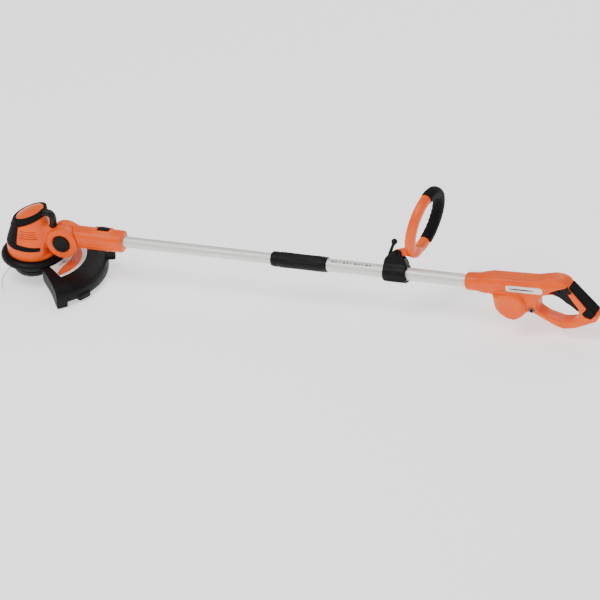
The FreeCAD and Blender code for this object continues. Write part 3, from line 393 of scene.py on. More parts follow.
def skin_of(field, low, high, step):
    """The surface where a field is 0, as points and quads: one point in each cell that it crosses."""
    axes = [np.arange(a, b + step, step) for a, b in zip(low, high)]
    shape = tuple(len(a) for a in axes)
    values = np.broadcast_to(field(axes[0][:, None, None], axes[1][None, :, None], axes[2][None, None, :]),
                             shape)
    inside = values < 0
    cells = tuple(n - 1 for n in shape)

    def corner(of, i, j, k):
        return of[i:i + cells[0], j:j + cells[1], k:k + cells[2]]

    count = sum(corner(inside, *c).astype(np.int8) for c in CORNERS)
    active = (count > 0) & (count < 8)
    number = np.full(cells, -1, np.int64)
    number[active] = np.arange(active.sum())
    at_corner = {c: corner(values, *c)[active] for c in CORNERS}
    total = np.zeros((active.sum(), 3))
    hits = np.zeros(active.sum())
    for first in CORNERS:
        for axis in range(3):
            if first[axis]:
                continue
            second = tuple(1 if a == axis else c for a, c in enumerate(first))
            near, far = at_corner[first], at_corner[second]
            crossing = (near < 0) != (far < 0)
            share = near[crossing] / (near[crossing] - far[crossing])
            spot = np.tile(np.array(first, float), (crossing.sum(), 1))
            spot[:, axis] += share
            total[crossing] += spot
            hits[crossing] += 1
    points = (np.argwhere(active) + total / hits[:, None]) * step + np.array([a[0] for a in axes])
    quads = []
    for axis in range(3):
        one, two = [a for a in range(3) if a != axis]
        near = np.take(inside, range(shape[axis] - 1), axis)
        far = np.take(inside, range(1, shape[axis]), axis)
        for crossing, flip in ((near & ~far, axis == 1), (~near & far, axis != 1)):
            found = np.argwhere(crossing)
            found = found[(found[:, one] > 0) & (found[:, two] > 0)]
            found = found[(found[:, one] < cells[one]) & (found[:, two] < cells[two])]
            ring = []
            for back_one, back_two in ((1, 1), (0, 1), (0, 0), (1, 0)):
                cell = found.copy()
                cell[:, one] -= back_one
                cell[:, two] -= back_two
                ring.append(number[cell[:, 0], cell[:, 1], cell[:, 2]])
            quads.append(np.stack(ring[::-1] if flip else ring, 1))
    return points, np.concatenate(quads)


def settled(field, points, step):
    """The points moved on to the surface, down the field's slope."""
    reach = 0.12
    for _ in range(2):
        x, y, z = points.T
        value = field(x, y, z)
        slope = np.stack([(field(x + a, y + b, z + c) - field(x - a, y - b, z - c)) / (2 * reach)
                          for a, b, c in ((reach, 0, 0), (0, reach, 0), (0, 0, reach))], 1)
        steep = np.maximum((slope ** 2).sum(1), 0.2)
        move = -slope * (value / steep)[:, None]
        length = np.sqrt((move ** 2).sum(1))
        move *= np.minimum(1, 0.4 * step / np.maximum(length, 1e-9))[:, None]
        points = points + 0.9 * move
    return points


# -------- pieces


def piece(name, points, faces, place, body, material, slot, nodes="", thin=1.0):
    """It stands for the CAD nodes named, and thin is the share of its faces that are kept."""
    mesh = bpy.data.meshes.new(name)
    mesh.from_pydata([tuple(p) for p in np.asarray(points, float).tolist()], [],
                     [tuple(f) for f in (faces.tolist() if hasattr(faces, "tolist") else faces)])
    mesh.transform(place @ SCALE)
    mesh.materials.append(material)
    made = added(name, mesh)
    if thin < 1:
        modifier = made.modifiers.new("thin", "DECIMATE")
        modifier.ratio = thin
        finished = bpy.data.meshes.new_from_object(
            made.evaluated_get(bpy.context.evaluated_depsgraph_get()))
        made.modifiers.clear()
        made.data = finished
        bpy.data.meshes.remove(mesh)
        finished.name = name
    made.data.polygons.foreach_set("use_smooth", [True] * len(made.data.polygons))
    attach(made, body)
    if nodes:
        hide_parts(*nodes.split())
    return made


def solid(name, field, low, high, step, *rest, thin=0.5):
    """A piece whose surface is where a field is 0, between two corners. The rest is as for piece()."""
    points, quads = skin_of(field, low, high, step)
    return piece(name, settled(field, points, step), quads, *rest, thin=thin)


def lathe(corners, around=96, sweep=(0, 360), ripple=None):
    """A closed (radius, height) outline turned about Z, as points and quads."""
    profile = filleted(corners)
    whole = abs(sweep[1] - sweep[0]) >= 360
    stations = around if whole else around + 1
    angles = np.radians(np.linspace(sweep[0], sweep[1], around + 1))[:stations]
    points = []
    for angle in angles:
        for radius, height in profile:
            swell = ripple(angle, radius, height) if ripple else 0
            points.append(((radius + swell) * math.cos(angle), (radius + swell) * math.sin(angle), height))
    count = len(profile)
    faces = []
    for station in range(stations if whole else stations - 1):
        for index in range(count):
            here = station * count + index
            up = station * count + (index + 1) % count
            across = ((station + 1) % stations) * count
            faces.append((here, across + index, across + (index + 1) % count, up))
    if not whole:
        faces.append(tuple(range(count)))
        faces.append(tuple(reversed(range((stations - 1) * count, stations * count))))
    if np.sum(profile[:, 0] * np.roll(profile[:, 1], -1) - profile[:, 1] * np.roll(profile[:, 0], -1)) > 0:
        faces = [tuple(reversed(face)) for face in faces]
    return np.array(points), faces


def along_x(points):
    """The same points with their Z axis laid along X."""
    return np.stack((points[:, 2], points[:, 0], points[:, 1]), 1)


def spline_through(spots, count):
    """A smooth open curve through the spots, with evenly shared steps."""
    spots = np.array(spots, float)
    padded = np.vstack((2 * spots[0] - spots[1], spots, 2 * spots[-1] - spots[-2]))
    made = []
    spans = len(spots) - 1
    for step in range(count + 1):
        position = min(step / count * spans, spans - 1e-9)
        span = int(position)
        t = position - span
        a, b, c, d = padded[span:span + 4]
        made.append(0.5 * (2 * b + (c - a) * t + (2 * a - 5 * b + 4 * c - d) * t * t
                           + (3 * b - a - 3 * c + d) * t ** 3))
    return np.array(made)


def sweep(path, section, side=(0, 1, 0)):
    """A section carried along an open path. section(share, angle) gives a point's two offsets from it."""
    path = np.array(path, float)
    count = len(path)
    ahead = np.roll(path, -1, 0) - np.roll(path, 1, 0)
    ahead[0], ahead[-1] = path[1] - path[0], path[-1] - path[-2]
    ahead /= np.linalg.norm(ahead, axis=1)[:, None]
    side = np.array(side, float)
    around = 40
    points = []
    for index in range(count):
        across = side - ahead[index] * (side @ ahead[index])
        across /= np.linalg.norm(across)
        out = np.cross(across, ahead[index])
        for step in range(around):
            u, v = section(index / (count - 1), 2 * math.pi * step / around)
            points.append(path[index] + across * u + out * v)
    faces = []
    for index in range(count - 1):
        for step in range(around):
            here, beside = index * around + step, index * around + (step + 1) % around
            faces.append((here, beside, beside + around, here + around))
    faces.append(tuple(reversed(range(around))))
    faces.append(tuple(range((count - 1) * around, count * around)))
    return np.array(points), faces


# -------- cutting line

LINE_ROUTE = [(-26.5, -26.5, -22), (-35, -36, -24.5), (-42, -48, -31), (-43, -67, -36.5),
              (-36, -88, -39.5), (-28, -103, -42)]
LINE_DIAMETER = 0.002

line_curve = bpy.data.curves.new("cutting_line_loose", "CURVE")
line_curve.dimensions = "3D"
line_curve.bevel_depth = LINE_DIAMETER / 2
line_curve.bevel_resolution = 4
line_curve.resolution_u = 12
line_curve.use_fill_caps = True
line_spline = line_curve.splines.new("NURBS")
line_spline.points.add(len(LINE_ROUTE) - 1)
for point, spot in zip(line_spline.points, LINE_ROUTE):
    point.co = (*placed(HEAD, spot), 1)
line_spline.order_u = 3
line_spline.use_endpoint_u = True
line_curve.materials.append(nylon)
cutting_line = added("cutting_line_loose", line_curve)
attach(cutting_line, "line_head")
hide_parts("cutting_line")

# -------- motor head

HOUSING_HEIGHTS = (5, 20, 50, 77, 104, 126)
HOUSING_RADII = (52, 53.5, 47.5, 40, 34, 30)
CAP_SLOPE = math.radians(25)
BAND_HEIGHT = 14
DRUM_RADIUS = 35
DRUM_REACH = 28
CAP_FRONT = (-42, 83)


def from_wall(x, y, z):
    """Distance from the motor housing's turned side wall."""
    return (np.hypot(x, y) - np.interp(z, HOUSING_HEIGHTS, HOUSING_RADII)) * 0.97


def from_cap(x, z):
    """Height above the plane of the cap's top."""
    return (z - CAP_FRONT[1]) * math.cos(CAP_SLOPE) - (x - CAP_FRONT[0]) * math.sin(CAP_SLOPE)


def motor_shell_field(x, y, z):
    body = both(from_wall(x, y, z), from_cap(x, z) + BAND_HEIGHT, 2)
    body = both(body, 5.2 - z, 1.5)
    body = less(body, smooth_max(40 - x, 14 - z, 1), 2)
    drum = both(disc(x, z, HEAD_PIVOT, DRUM_RADIUS), between(y, -DRUM_REACH, -0.3), 4.5)
    web = both(both(between(x, 20, 70), between(z, 27, 80), 6), between(y, -20, -0.3), 6)
    knuckle = smooth_min(drum, web, 5)
    shell = smooth_min(body, knuckle, 7)
    shell = np.maximum(shell, np.minimum(x - 41.5, y + 0.3))
    shell = less(shell, both(disc(x, z, HEAD_PIVOT, 19.4), y + 19, 0.5), 0.8)
    shell = less(shell, both(disc(x, z, HEAD_PIVOT, 22), y + 26.8, 0.6), 1.0)
    cavity = both(both(from_wall(x, y, z) + 3.2, 8 - z, 2), x - 36.5, 2)
    shell = less(shell, cavity, 0.5)
    for index in range(4):
        height = 57 + 4.8 * index
        slot = both(both(between(z, height, height + 1.3), between(x, -12, 28 - 2 * index), 0.6),
                    20 - np.abs(y), 0.5)
        shell = less(shell, slot, 0.6)
    return shell


solid("motor_shell", motor_shell_field, (-57, -57, 2), (115, 57, 116), 1.25, HEAD, "head", orange,
      "orange_plastic", "motor_housing_left motor_housing_right", thin=0.45)


def bumper_field(x, y, z):
    wall = from_wall(x, y, z)
    cap = from_cap(x, z)
    upper = both(both(wall - 1.8, between(cap, -BAND_HEIGHT, 0.2), 2.2), -4.2 - wall, 1.0)
    skin = both(wall - 1.8, -0.2 - wall, 0.5)
    strip = both(both(both(skin, x + 17, 1.2), 30.5 - z, 1), cap + 8, 1)
    lower = both(both(skin, between(z, 30.2, 41.5 - np.maximum(x, 0) * 0.1), 1.4), x - 35, 2)
    bands = smooth_min(smooth_min(upper, strip, 3.5), lower, 3.5)
    groove = both(both(between(x, -60, -24), between(np.abs(y), 0, 60), 0.1), -0.6 - wall + 1.9, 0.2)
    panel = both(groove, np.abs(cap + BAND_HEIGHT + 1) - 0.7, 0.2)
    return less(bands, panel, 0.6)


solid("motor_bumper", bumper_field, (-58, -58, 12), (44, 58, 132), 1.15, HEAD, "head", rubber,
      "black_rubber", "bumper")


def cap_field(x, y, z):
    wall = from_wall(x, y, z)
    cap = from_cap(x, z)
    crown = np.maximum(1 + (wall + 4) / 28, 0)
    return both(both(wall + 4.6, cap - 7 + 7.5 * crown ** 2.2, 1.8), -BAND_HEIGHT - cap, 1)


solid("motor_cap_inlay", cap_field, (-44, -44, 50), (40, 44, 132), 1.2, HEAD, "head", orange_plain,
      "orange_plastic", "motor_cap")


def arch_section(share, angle):
    swell = 0.35 * math.cos(6 * angle) + (0.9 if share < 0.04 or share > 0.97 else 0)
    return (8.4 + swell) * math.cos(angle), (7.0 + swell) * math.sin(angle)


ARCH_PATH = spline_through([(28, -9, 108), (38, -9, 111.5), (47, -9, 111), (52.5, -9, 104.5),
                            (54.3, -9, 94), (54, -9, 82)], 48)
piece("cable_duct", *sweep(ARCH_PATH, arch_section), HEAD, "head", black_gloss, "black_plastic",
      "cable_arch")

FLANGE = [(42, -12, 1), (60, -12, 2), (66, -9.5, 3), (67, -4, 4), (65, 1.5, 3), (60.5, 4.8, 2),
          (57.5, 4.9, 1), (57, 3.6, 0.5), (54.8, 3.6, 0.5), (54.5, 5, 0.5), (42, 5, 1)]
piece("flange_ring", *lathe(FLANGE, 120), HEAD, "head", black, "black_plastic", "flange_collar")

# -------- guard

GUARD_PLATE = softened([
    (68, -1.2), (90, -2), (120, -4), (146, -8), (158, -14), (163, -23), (164, -38), (161, -38), (160, -25),
    (155.5, -17), (145, -11), (120, -7), (90, -5), (70, -4.2), (70, -15), (47, -15), (47, -12.2),
    (68, -12.2)], 1)
GUARD_END = softened([
    (69, -3), (120, -6), (145, -10), (157, -17), (161, -25), (162, -50), (151, -48.5), (136, -39.5),
    (119, -34), (97, -33), (80, -32), (69, -27)], 1)
GUARD_REACH = 50
GUARD_RIBS = (-33, -11, 11, 33)
CUTTER_ANGLE = -26
LUG_ANGLE = 21


def guard_field(x, y, z):
    rho = np.hypot(x, y)
    angle = np.degrees(np.arctan2(y, x))
    arc = np.pi / 180 * rho
    plate = both(inside_of(GUARD_PLATE, rho, z), (np.abs(angle) - GUARD_REACH) * arc, 0.9)
    end = both(inside_of(GUARD_END, rho, z), np.abs((np.abs(angle) - GUARD_REACH + 1.0) * arc) - 1.5, 0.9)
    guard = smooth_min(plate, end, 2.0)
    corner = both(both(between(rho, 161.2, 163.6), between(z, -49.6, -30), 0.8),
                  (np.abs(np.abs(angle) - GUARD_REACH + 4.6) - 4.4) * arc, 0.8)
    guard = smooth_min(guard, corner, 1.2)
    away = np.abs(angle - CUTTER_ANGLE) * arc
    holder = both(both(between(rho, 152, 168), between(z, -44.4, -30), 3.0), away - 16, 3.0)
    lug = both(both(between(rho, 156, 178.5), between(z, -19, -10.3), 3.4),
               np.abs(angle - LUG_ANGLE) * arc - 15, 7.0)
    guard = smooth_min(smooth_min(guard, holder, 2.5), lug, 2.5)
    for rib in GUARD_RIBS:
        fin = both(both(np.abs(angle - rib) * arc - 0.9, between(rho, 80, 150), 0.6),
                   between(z, -13 - (rho - 80) * 0.10, -7.5 - np.maximum(rho - 120, 0) * 0.3), 0.6)
        guard = smooth_min(guard, fin, 1.0)
    groove = both(between(rho, 121.2, 123.4), -5.6 + 0.9 - z, 0.3)
    return less(guard, groove, 0.6)


solid("guard_shell", guard_field, (20, -132, -53), (182, 132, 2), 1.25, HEAD, "head", black, "black_plastic",
      "guard", thin=0.55)


def guard_top(radius):
    return float(np.interp(radius, (68, 90, 120, 146), (-1.3, -2.05, -4.0, -8.0)))


def film_sheet(name, inner, outer, low_angle, high_angle, proud, material, nodes="",
               bulge=lambda share: (0, 0)):
    """A thin printed film that follows the guard's top, between two radii and two angles."""
    across, along, thickness = 14, 64, 0.35
    points = []
    for layer in (proud, proud - thickness):
        for step in range(along + 1):
            share = step / along
            angle = math.radians(low_angle + (high_angle - low_angle) * share)
            trim_low, trim_high = bulge(share)
            for part in range(across + 1):
                radius = inner + trim_low + (outer - trim_high - inner - trim_low) * part / across
                points.append((radius * math.cos(angle), radius * math.sin(angle), guard_top(radius) + layer))
    row = across + 1
    under = row * (along + 1)
    faces = []
    for step in range(along):
        for part in range(across):
            a = step * row + part
            faces.append((a, a + 1, a + row + 1, a + row))
            faces.append((a + under, a + row + under, a + row + 1 + under, a + 1 + under))
    rim = ([(0, p) for p in range(across)] + [(s, across) for s in range(along)]
           + [(along, p) for p in range(across, 0, -1)] + [(s, 0) for s in range(along, 0, -1)])
    for (s, p), (t, q) in zip(rim, rim[1:] + rim[:1]):
        a, b = s * row + p, t * row + q
        faces.append((a, a + under, b + under, b))
    return piece(name, points, faces, HEAD, "head", material, "label", nodes)


film_sheet("guard_film", 72, 117, -37, 37, 0.75, film_white, "guard_label")
film_sheet("guard_film_stripe", 88, 112, -36.6, 36, 0.95, film_orange,
           bulge=lambda share: (13 * (1 - min(1, share / 0.25)) ** 1.5 + 10 * max(0, share - 0.7),
                                1 + 18 * max(0, share - 0.3) ** 2))
film_sheet("guard_film_mark", 78, 84, -24, -8, 0.95, film_grey)

# -------- line head


def knurl(count, depth, sharpness, rim, below=math.inf):
    """Grooves round a lathed piece, outside a radius and below a height."""
    def ripple(angle, radius, height):
        if radius <= rim or height >= below:
            return 0
        return -depth * max(0, math.cos(count * angle)) ** sharpness
    return ripple


SPOOL_BODY = [(4.2, -13, 0.3), (34, -13, 1), (37.6, -14.6, 1.5), (38, -30, 0.4), (35.5, -30, 0.2),
              (35.5, -16.5, 0.5), (12, -16.5, 0.5), (12, -30, 0.3), (4.2, -30, 0.3)]
SPOOL_LID = [(15.4, -30.2, 0.3), (38.6, -30.2, 1.2), (38.9, -37, 2), (35.5, -42.8, 3), (24, -43, 1),
             (22, -41.6, 0.8), (18, -41.6, 0.8), (17, -43, 0.6), (15.4, -43, 0.4)]
BUMP_CAP = [(11, -36, 0.2), (13, -36, 0.2), (13, -39, 0.2), (14.9, -40, 0.8), (14.9, -48.5, 1.5),
            (11.5, -51.9, 2), (6, -51.9, 0.8), (5, -51, 0.5), (0.6, -51, 0.2), (0.6, -39.2, 0.2),
            (11, -39.2, 0.3)]
TILT_CAP = [(0.5, -30.3, 0.2), (12.6, -29.4, 2), (13.6, -30.4, 0.6), (17.2, -30.4, 1.0), (18.9, -28.6, 1.0),
            (18.9, -23.2, 0.5), (0.5, -23.2, 0.2)]

piece("spool_body", *lathe(SPOOL_BODY, 120, ripple=knurl(18, 0.8, 6, 37, -17)), HEAD, "line_head", black,
      "black_plastic", "spool_hub")
piece("spool_lid", *lathe(SPOOL_LID, 120, ripple=knurl(12, 1.3, 4, 34, -31.5)), HEAD, "line_head",
      black_gloss, "black_plastic", "spool_cover")
piece("bump_cap", *lathe(BUMP_CAP, ripple=knurl(16, 0.6, 4, 13.5, -42)), HEAD, "bump", black_gloss,
      "black_plastic", "bump_knob")

# -------- knuckle and neck

button_points, button_faces = lathe(TILT_CAP, ripple=knurl(24, 0.35, 3, 18))
button_points = np.stack((button_points[:, 0] + HEAD_PIVOT[0], button_points[:, 2],
                          -button_points[:, 1] + HEAD_PIVOT[1]), 1)
piece("tilt_button_cap", button_points, button_faces, HEAD, "tilt_release", black, "black_plastic",
      "tilt_button")


def neck_field(x, y, z):
    swell = np.interp(x, (12, 40, 96, 134), (22.5, 22.5, 22.5, 22.2))
    tube = (np.abs(y) ** 2.6 + np.abs(z) ** 2.6) ** (1 / 2.6) - swell
    tube = both(tube, between(x, 6, 134), 4)
    boss = both(both(between(x, 66, 108), between(z, 10, 25.6), 3.5), np.abs(y) - 11.5, 4)
    tube = smooth_min(tube, boss, 5)
    tube = less(tube, both(disc(x, z, NECK_PIVOT, 36.2), y - 0.6, 0.3), 0.8)
    cheek = both(disc(x, z, NECK_PIVOT, DRUM_RADIUS), between(y, 0.3, 20), 4)
    dome = np.sqrt((x - NECK_PIVOT[0]) ** 2 + (z - NECK_PIVOT[1]) ** 2 + ((y - 12) * 1.9) ** 2) - 30.5
    dome = np.maximum(dome * 0.7, 12 - y)
    neck = smooth_min(smooth_min(tube, cheek, 6), dome, 3)
    neck = np.maximum(neck, y - DRUM_REACH)
    ring = both(np.abs(disc(x, z, NECK_PIVOT, 24)) - 0.9, 19.5 - y, 0.4)
    neck = less(neck, ring, 0.8)
    bore = both(np.hypot(y, z) - 12.5, 60 - x, 0.2)
    pocket = both(np.hypot(y, z) - 17.3, between(x, 65.6, 98.4), 0.3)
    slot = both(both(between(x, 74.6, 101.4), np.abs(y) - 6.4, 0.6), 15 - z, 0.2)
    neck = less(less(less(neck, bore, 0.5), pocket, 0.3), slot, 0.6)
    groove = both(np.abs(z + 3) - 0.8, both(between(x, 44, 122), -(np.abs(y) - 21.3), 0.2), 0.3)
    return less(neck, groove, 0.8)


solid("neck_shell", neck_field, (-42, -27, -46), (137, 31, 31), 1.15, SHAFT, "neck", orange, "orange_plastic",
      "neck_left neck_right", thin=0.45)


def release_field(x, y, z):
    crown = 28.6 - ((x - 88) / 13) ** 2
    button = both(both(between(x, 75.1, 100.9), np.abs(y) - 5.9, 1.5), between(z, 20.7, 30), 0.2)
    button = both(button, z - crown, 1.2)
    for index in range(6):
        place = 79.5 + 3.4 * index
        ridge = disc(x, z, (place, 28.4 - (place - 88) ** 2 / 169), 0.95)
        button = smooth_min(button, both(ridge, np.abs(y) - 5.2, 0.5), 0.4)
    return button


solid("release_cap", release_field, (73, -8, 19), (103, 8, 31), 0.45, SHAFT, "release", black,
      "black_plastic", "release_button")

# -------- shaft


def x_lathe(name, corners, body, material, slot, nodes, around=96, ripple=None):
    points, faces = lathe([(radius, place, rounding) for place, radius, rounding in corners], around,
                          ripple=ripple)
    return piece(name, along_x(points), faces, SHAFT, body, material, slot, nodes)


x_lathe("inner_tube", [(66, 10.75, 0.2), (66, 12, 0.3), (640, 12, 0.3), (640, 10.75, 0.2)],
        "lower_shaft", tube_metal, "tube_metal", "lower_tube")
x_lathe("outer_tube", [(500, 12.75, 0.2), (500, 14, 0.4), (1010, 14, 0.3), (1010, 12.75, 0.2)],
        "handle_frame", tube_metal, "tube_metal", "upper_tube")


def sleeve_ripple(angle, radius, height):
    if radius < 15.9 or not 494 < height < 590:
        return 0
    return 0.28 * math.cos(28 * angle) * min(1, (height - 494) / 6, (590 - height) / 6)


x_lathe("lock_sleeve_grip", [
    (474, 12.4, 0.4), (474, 14.6, 1.0), (478, 16.4, 2), (487, 16.8, 2), (489, 16.1, 0.5), (491, 16.1, 0.5),
    (493, 16.9, 1), (505, 16.9, 0), (520, 16.7, 0), (540, 16.5, 0), (560, 16.6, 0), (580, 16.9, 0),
    (592, 17, 1), (594, 16.3, 0.5), (596, 16.3, 0.5), (598, 17, 1), (602, 15.8, 1), (602, 14.4, 0.4),
    (500.5, 14.4, 0.1), (500.5, 15.6, 0.1), (479, 15.6, 0.1), (479, 12.4, 0.1)], "sleeve", black,
        "black_plastic", "lock_sleeve", around=168, ripple=sleeve_ripple)


# A row of plain printed ticks on the upper tube: (radius, place) outlines turned through a small angle.
TICK_COUNT = 11
TICK_LENGTHS = (5.5, 3.5, 2)
TICK_RADII = (13.9, 14.02)
for index in range(TICK_COUNT):
    start = 613 + 8.6 * index
    end = start + TICK_LENGTHS[index % len(TICK_LENGTHS)]
    tick = [(TICK_RADII[0], start), (TICK_RADII[1], start), (TICK_RADII[1], end), (TICK_RADII[0], end)]
    points, faces = lathe(tick, 12, (104, 120))
    piece("tube_mark_%d" % index, along_x(points), faces, SHAFT, "handle_frame", film_mark, "label")

# -------- front handle

CLAMP_OUTLINE = softened([
    (-37, -19.5), (-10, -20), (19, -19.5), (19.5, 4), (14, 22), (8, 32.5), (2, 37), (0.5, 46), (-7, 50.5),
    (-16, 48), (-26, 37), (-35.5, 30), (-37.5, 14)], 1)
LEVER_OUTLINE = softened([(-34.8, 26), (-30, 24), (-27, 30), (-23, 48), (-18.5, 62), (-21, 66), (-24.5, 62),
                          (-30, 45)], 1)
LEVER_PIVOT = (-30, 26)
LEVER_KNOB = (-21, 65)


def clamp_field(x, y, z):
    outline = inside_of(CLAMP_OUTLINE, x, z)
    width = np.interp(z, (-20, 10, 46), (15, 14.6, 12.6))
    saddle = both(outline, np.abs(y) - width, 3.2)
    barrel = both(np.hypot(y, z) - 20.5, between(x, -35.5, 16), 1.6)
    clamp = smooth_min(saddle, barrel, 3)
    clamp = less(clamp, np.hypot(y, z) - 16.1, 0.3)
    fork = both(both(between(x, -19.5, 41), np.abs(y) - 7.4, 0.4), 32 - z, 0.4)
    cam = both(both(between(x, -45, -20), np.abs(y) - 6, 0.4), 20.5 - z, 0.4)
    clamp = less(less(clamp, fork, 0.8), cam, 0.8)
    clamp = less(clamp, both(disc(x, z, LOOP_HINGE, 3.2), np.abs(y) - 30, 0.1), 0.4)
    seam = both(np.abs(z) - 0.7, -(np.hypot(y, z) - 19.6), 0.2)
    return less(clamp, seam, 0.5)


solid("clamp_body", clamp_field, (-43, -23, -23), (24, 23, 54), 1.0, CLAMP, "clamp", black, "black_plastic",
      "handle_clamp")


def lever_field(x, y, z):
    cam = both(disc(x, z, LEVER_PIVOT, 5), np.abs(y) - 5.5, 0.8)
    stalk = both(inside_of(LEVER_OUTLINE, x, z), np.abs(y) - 4, 1.6)
    knob = np.sqrt((x - LEVER_KNOB[0]) ** 2 + (z - LEVER_KNOB[1]) ** 2 + (y * 0.95) ** 2) - 6.7
    lever = smooth_min(smooth_min(cam, stalk, 2), knob, 3)
    return less(lever, disc(x, z, LEVER_PIVOT, 2.1), 0.2)


solid("clamp_handle_lever", lever_field, (-37, -8, 18), (-12, 8, 74), 0.7, CLAMP, "cam_lever", black_gloss,
      "black_plastic", "clamp_lever")

# The loop's centre line is an ellipse in a plane across the shaft. The sizes are half the thickness of
# the bare loop, of its core under the rubber sleeve, and of the sleeve's two faces.
RING_UP, RING_ACROSS = 66.6, 59
RING_OFFSET, RING_CENTRE = 32.3, 84.2
BARE_SIZE, CORE_SIZE = 11.2, 9.9
SLEEVE_INNER, SLEEVE_OUTER = 10.1, 12.5
GRIP_ENDS = (-36, 135)
GRIP_MIDDLE = (GRIP_ENDS[0] + GRIP_ENDS[1]) / 2
GRIP_REACH = (GRIP_ENDS[1] - GRIP_ENDS[0]) / 2
LOOP_FOOT = softened([(-7, -4), (-2, -8), (6, -7.5), (14, -2), (30, 5), (42, 12), (36, 26), (18, 22), (4, 12),
                      (-6, 6)], 1)


def ring_distance(y, z):
    """About how far a point is from the loop's centre line, in the loop's plane."""
    across, up = y / RING_ACROSS, (z - RING_CENTRE) / RING_UP
    level = np.hypot(across, up)
    slope = np.hypot(across / RING_ACROSS, up / RING_UP) / np.maximum(level, 1e-6)
    return (level - 1) / slope


def ring_angle(y, z):
    """Degrees round the loop from its top."""
    return np.degrees(np.arctan2(y, z - RING_CENTRE))


def ring_section(x, y, z, size):
    """Distance from a rounded square bar along the loop, a little deeper towards its lower end."""
    heavier = size * (1 + 0.14 * np.clip((60 - z) / 50, 0, 1))
    out = np.abs(ring_distance(y, z) / heavier)
    side = np.abs((x - RING_OFFSET) / size)
    return ((out ** 2.5 + side ** 2.5) ** (1 / 2.5) - 1) * size


def loop_field(x, y, z):
    angle = ring_angle(y, z)
    ring = ring_section(x, y, z, BARE_SIZE)
    foot = both(inside_of(LOOP_FOOT, x, z), np.abs(y) - 7, 2)
    eye = both(np.hypot(x, z) - 8.4, np.abs(y) - 7, 1.2)
    lobe = np.sqrt((x - 33) ** 2 + (y / 1.5) ** 2 + (z - 16) ** 2) - 13.6
    loop = smooth_min(smooth_min(smooth_min(ring, lobe, 6), foot, 5), eye, 1.5)
    loop = less(loop, np.hypot(x, z) - 3.1, 0.3)
    for edge in GRIP_ENDS:
        loop = less(loop, both(np.abs(angle - edge) - 0.8, -2 - ring, 0.2), 0.5)
    seat = both(np.abs(angle - GRIP_MIDDLE) - GRIP_REACH, -ring_section(x, y, z, CORE_SIZE), 0.2)
    return less(loop, seat, 0.2)


solid("loop_frame", loop_field, (-12, -76, -12), (50, 76, 166), 1.3, LOOP, "loop", orange_plain,
      "orange_plastic", "loop_handle")


def loop_rubber_field(x, y, z):
    angle = ring_angle(y, z)
    aside = np.abs(angle - GRIP_MIDDLE)
    sleeve = both(ring_section(x, y, z, SLEEVE_OUTER), (aside - GRIP_REACH) * 1.08, 1.2)
    wave = 0.35 * np.cos(np.radians(angle - GRIP_MIDDLE) * 30)
    held = np.clip((GRIP_REACH - 8 - aside) / 3, 0, 1) * np.clip(-ring_distance(y, z) / 4, 0, 1)
    return less(sleeve + wave * held, ring_section(x, y, z, SLEEVE_INNER), 0.3)


solid("loop_rubber", loop_rubber_field, (16, -76, 40), (50, 76, 168), 1.1, LOOP, "loop", rubber,
      "black_rubber", "loop_grip")

# -------- rear housing

BARREL = filleted([
    (0, -18, 3), (0, 18, 3), (8, 20.5, 20), (74, 25, 200), (161, 28, 60), (206, 38, 16), (228, 36, 22),
    (241, 22, 10), (205, -1, 12), (180, -5, 8), (166, -18, 8), (161, -44, 6), (145, -50, 8), (127, -58, 8),
    (114, -65, 14), (98, -62, 10), (71, -44, 6), (65, -16, 6), (57, -14, 4)])
DOCK = filleted([
    (66, -10, 5), (84, -7, 8), (114, -3, 8), (134, -9, 9), (141, -22, 9), (142, -46, 8), (127, -58, 8),
    (114, -65, 14), (98, -62, 10), (71, -44, 6)])
GRIP = filleted([
    (140, -20, 4), (140, -48, 6), (197, -80, 30), (218, -86.5, 20), (245, -81, 20), (294, -60, 10),
    (301, -47, 7), (290, -33, 8), (240, 24, 10), (222, 37, 18), (206, 38, 14), (170, 30, 10)])
FINGER_HOLE = filleted([
    (165, -22, 10), (162, -44, 8), (181, -57, 20), (216, -67, 24), (240, -63, 20), (257, -50, 9),
    (257, -36, 8), (204, 1, 14), (180, -5, 10)])
BACK_GRIP = filleted([
    (240, 24, 1), (291, -34, 3), (296, -40, 4), (283, -53, 3), (269, -49, 2), (264, -42, 2), (276, -28, 3),
    (249, 8, 4), (242, 15, 2)])
SIDE_PANEL = filleted([
    (191, 2, 1), (203, 9, 6), (215, 14.5, 6), (228, 18.5, 6), (238.6, 22.6, 1), (240.2, 14.6, 2),
    (246.6, 7.4, 1), (235.5, 3, 1), (246, -14, 3), (258, -32, 0.5), (256.5, -33.5, 0.5), (203, 3, 3)])
TRIGGER = softened([
    (190, -5), (193, 1), (198, 4), (214, 2), (236, -11), (256, -27), (259, -35), (256, -45), (250, -43),
    (238, -32), (226, -25), (216, -15), (206, -11)], 2)
TRIGGER_ROOM = np.array([(184, -12), (188, 8), (206, 22), (224, 20), (265, -22), (267, -38), (250, -50),
                         (206, -16)], float)
TRIGGER_PIN = (200, 0)
LOCK_BUTTON = (214.5, 9)
LOCK_BUTTON_HOLE = 4.5
EYELET = (151, -43)
LABEL_PLATE = filleted([(97, -2, 5.5), (181, -0.5, 6), (182, 15, 6), (97, 13, 6)])
LABEL_SEAT = filleted([(96, -3, 6), (182, -1.5, 7), (183, 16, 7), (96, 14, 7)])
LABEL_MARK = softened([(106, 4), (160, 4.5), (160, 8), (106, 7.5)], 1)
LABEL_FACE = 21.9
SIDES = (("left", -1), ("right", 1))


def mirrored(sign, near, far):
    """A range of Y on the left (-1) or the right (1), lowest first."""
    return sorted((near * sign, far * sign))


def back_depth(x, z, height):
    """Depth below a plane that is square to the back grip, a height from the frame's origin."""
    return height - (x * 0.751 + z * 0.660)


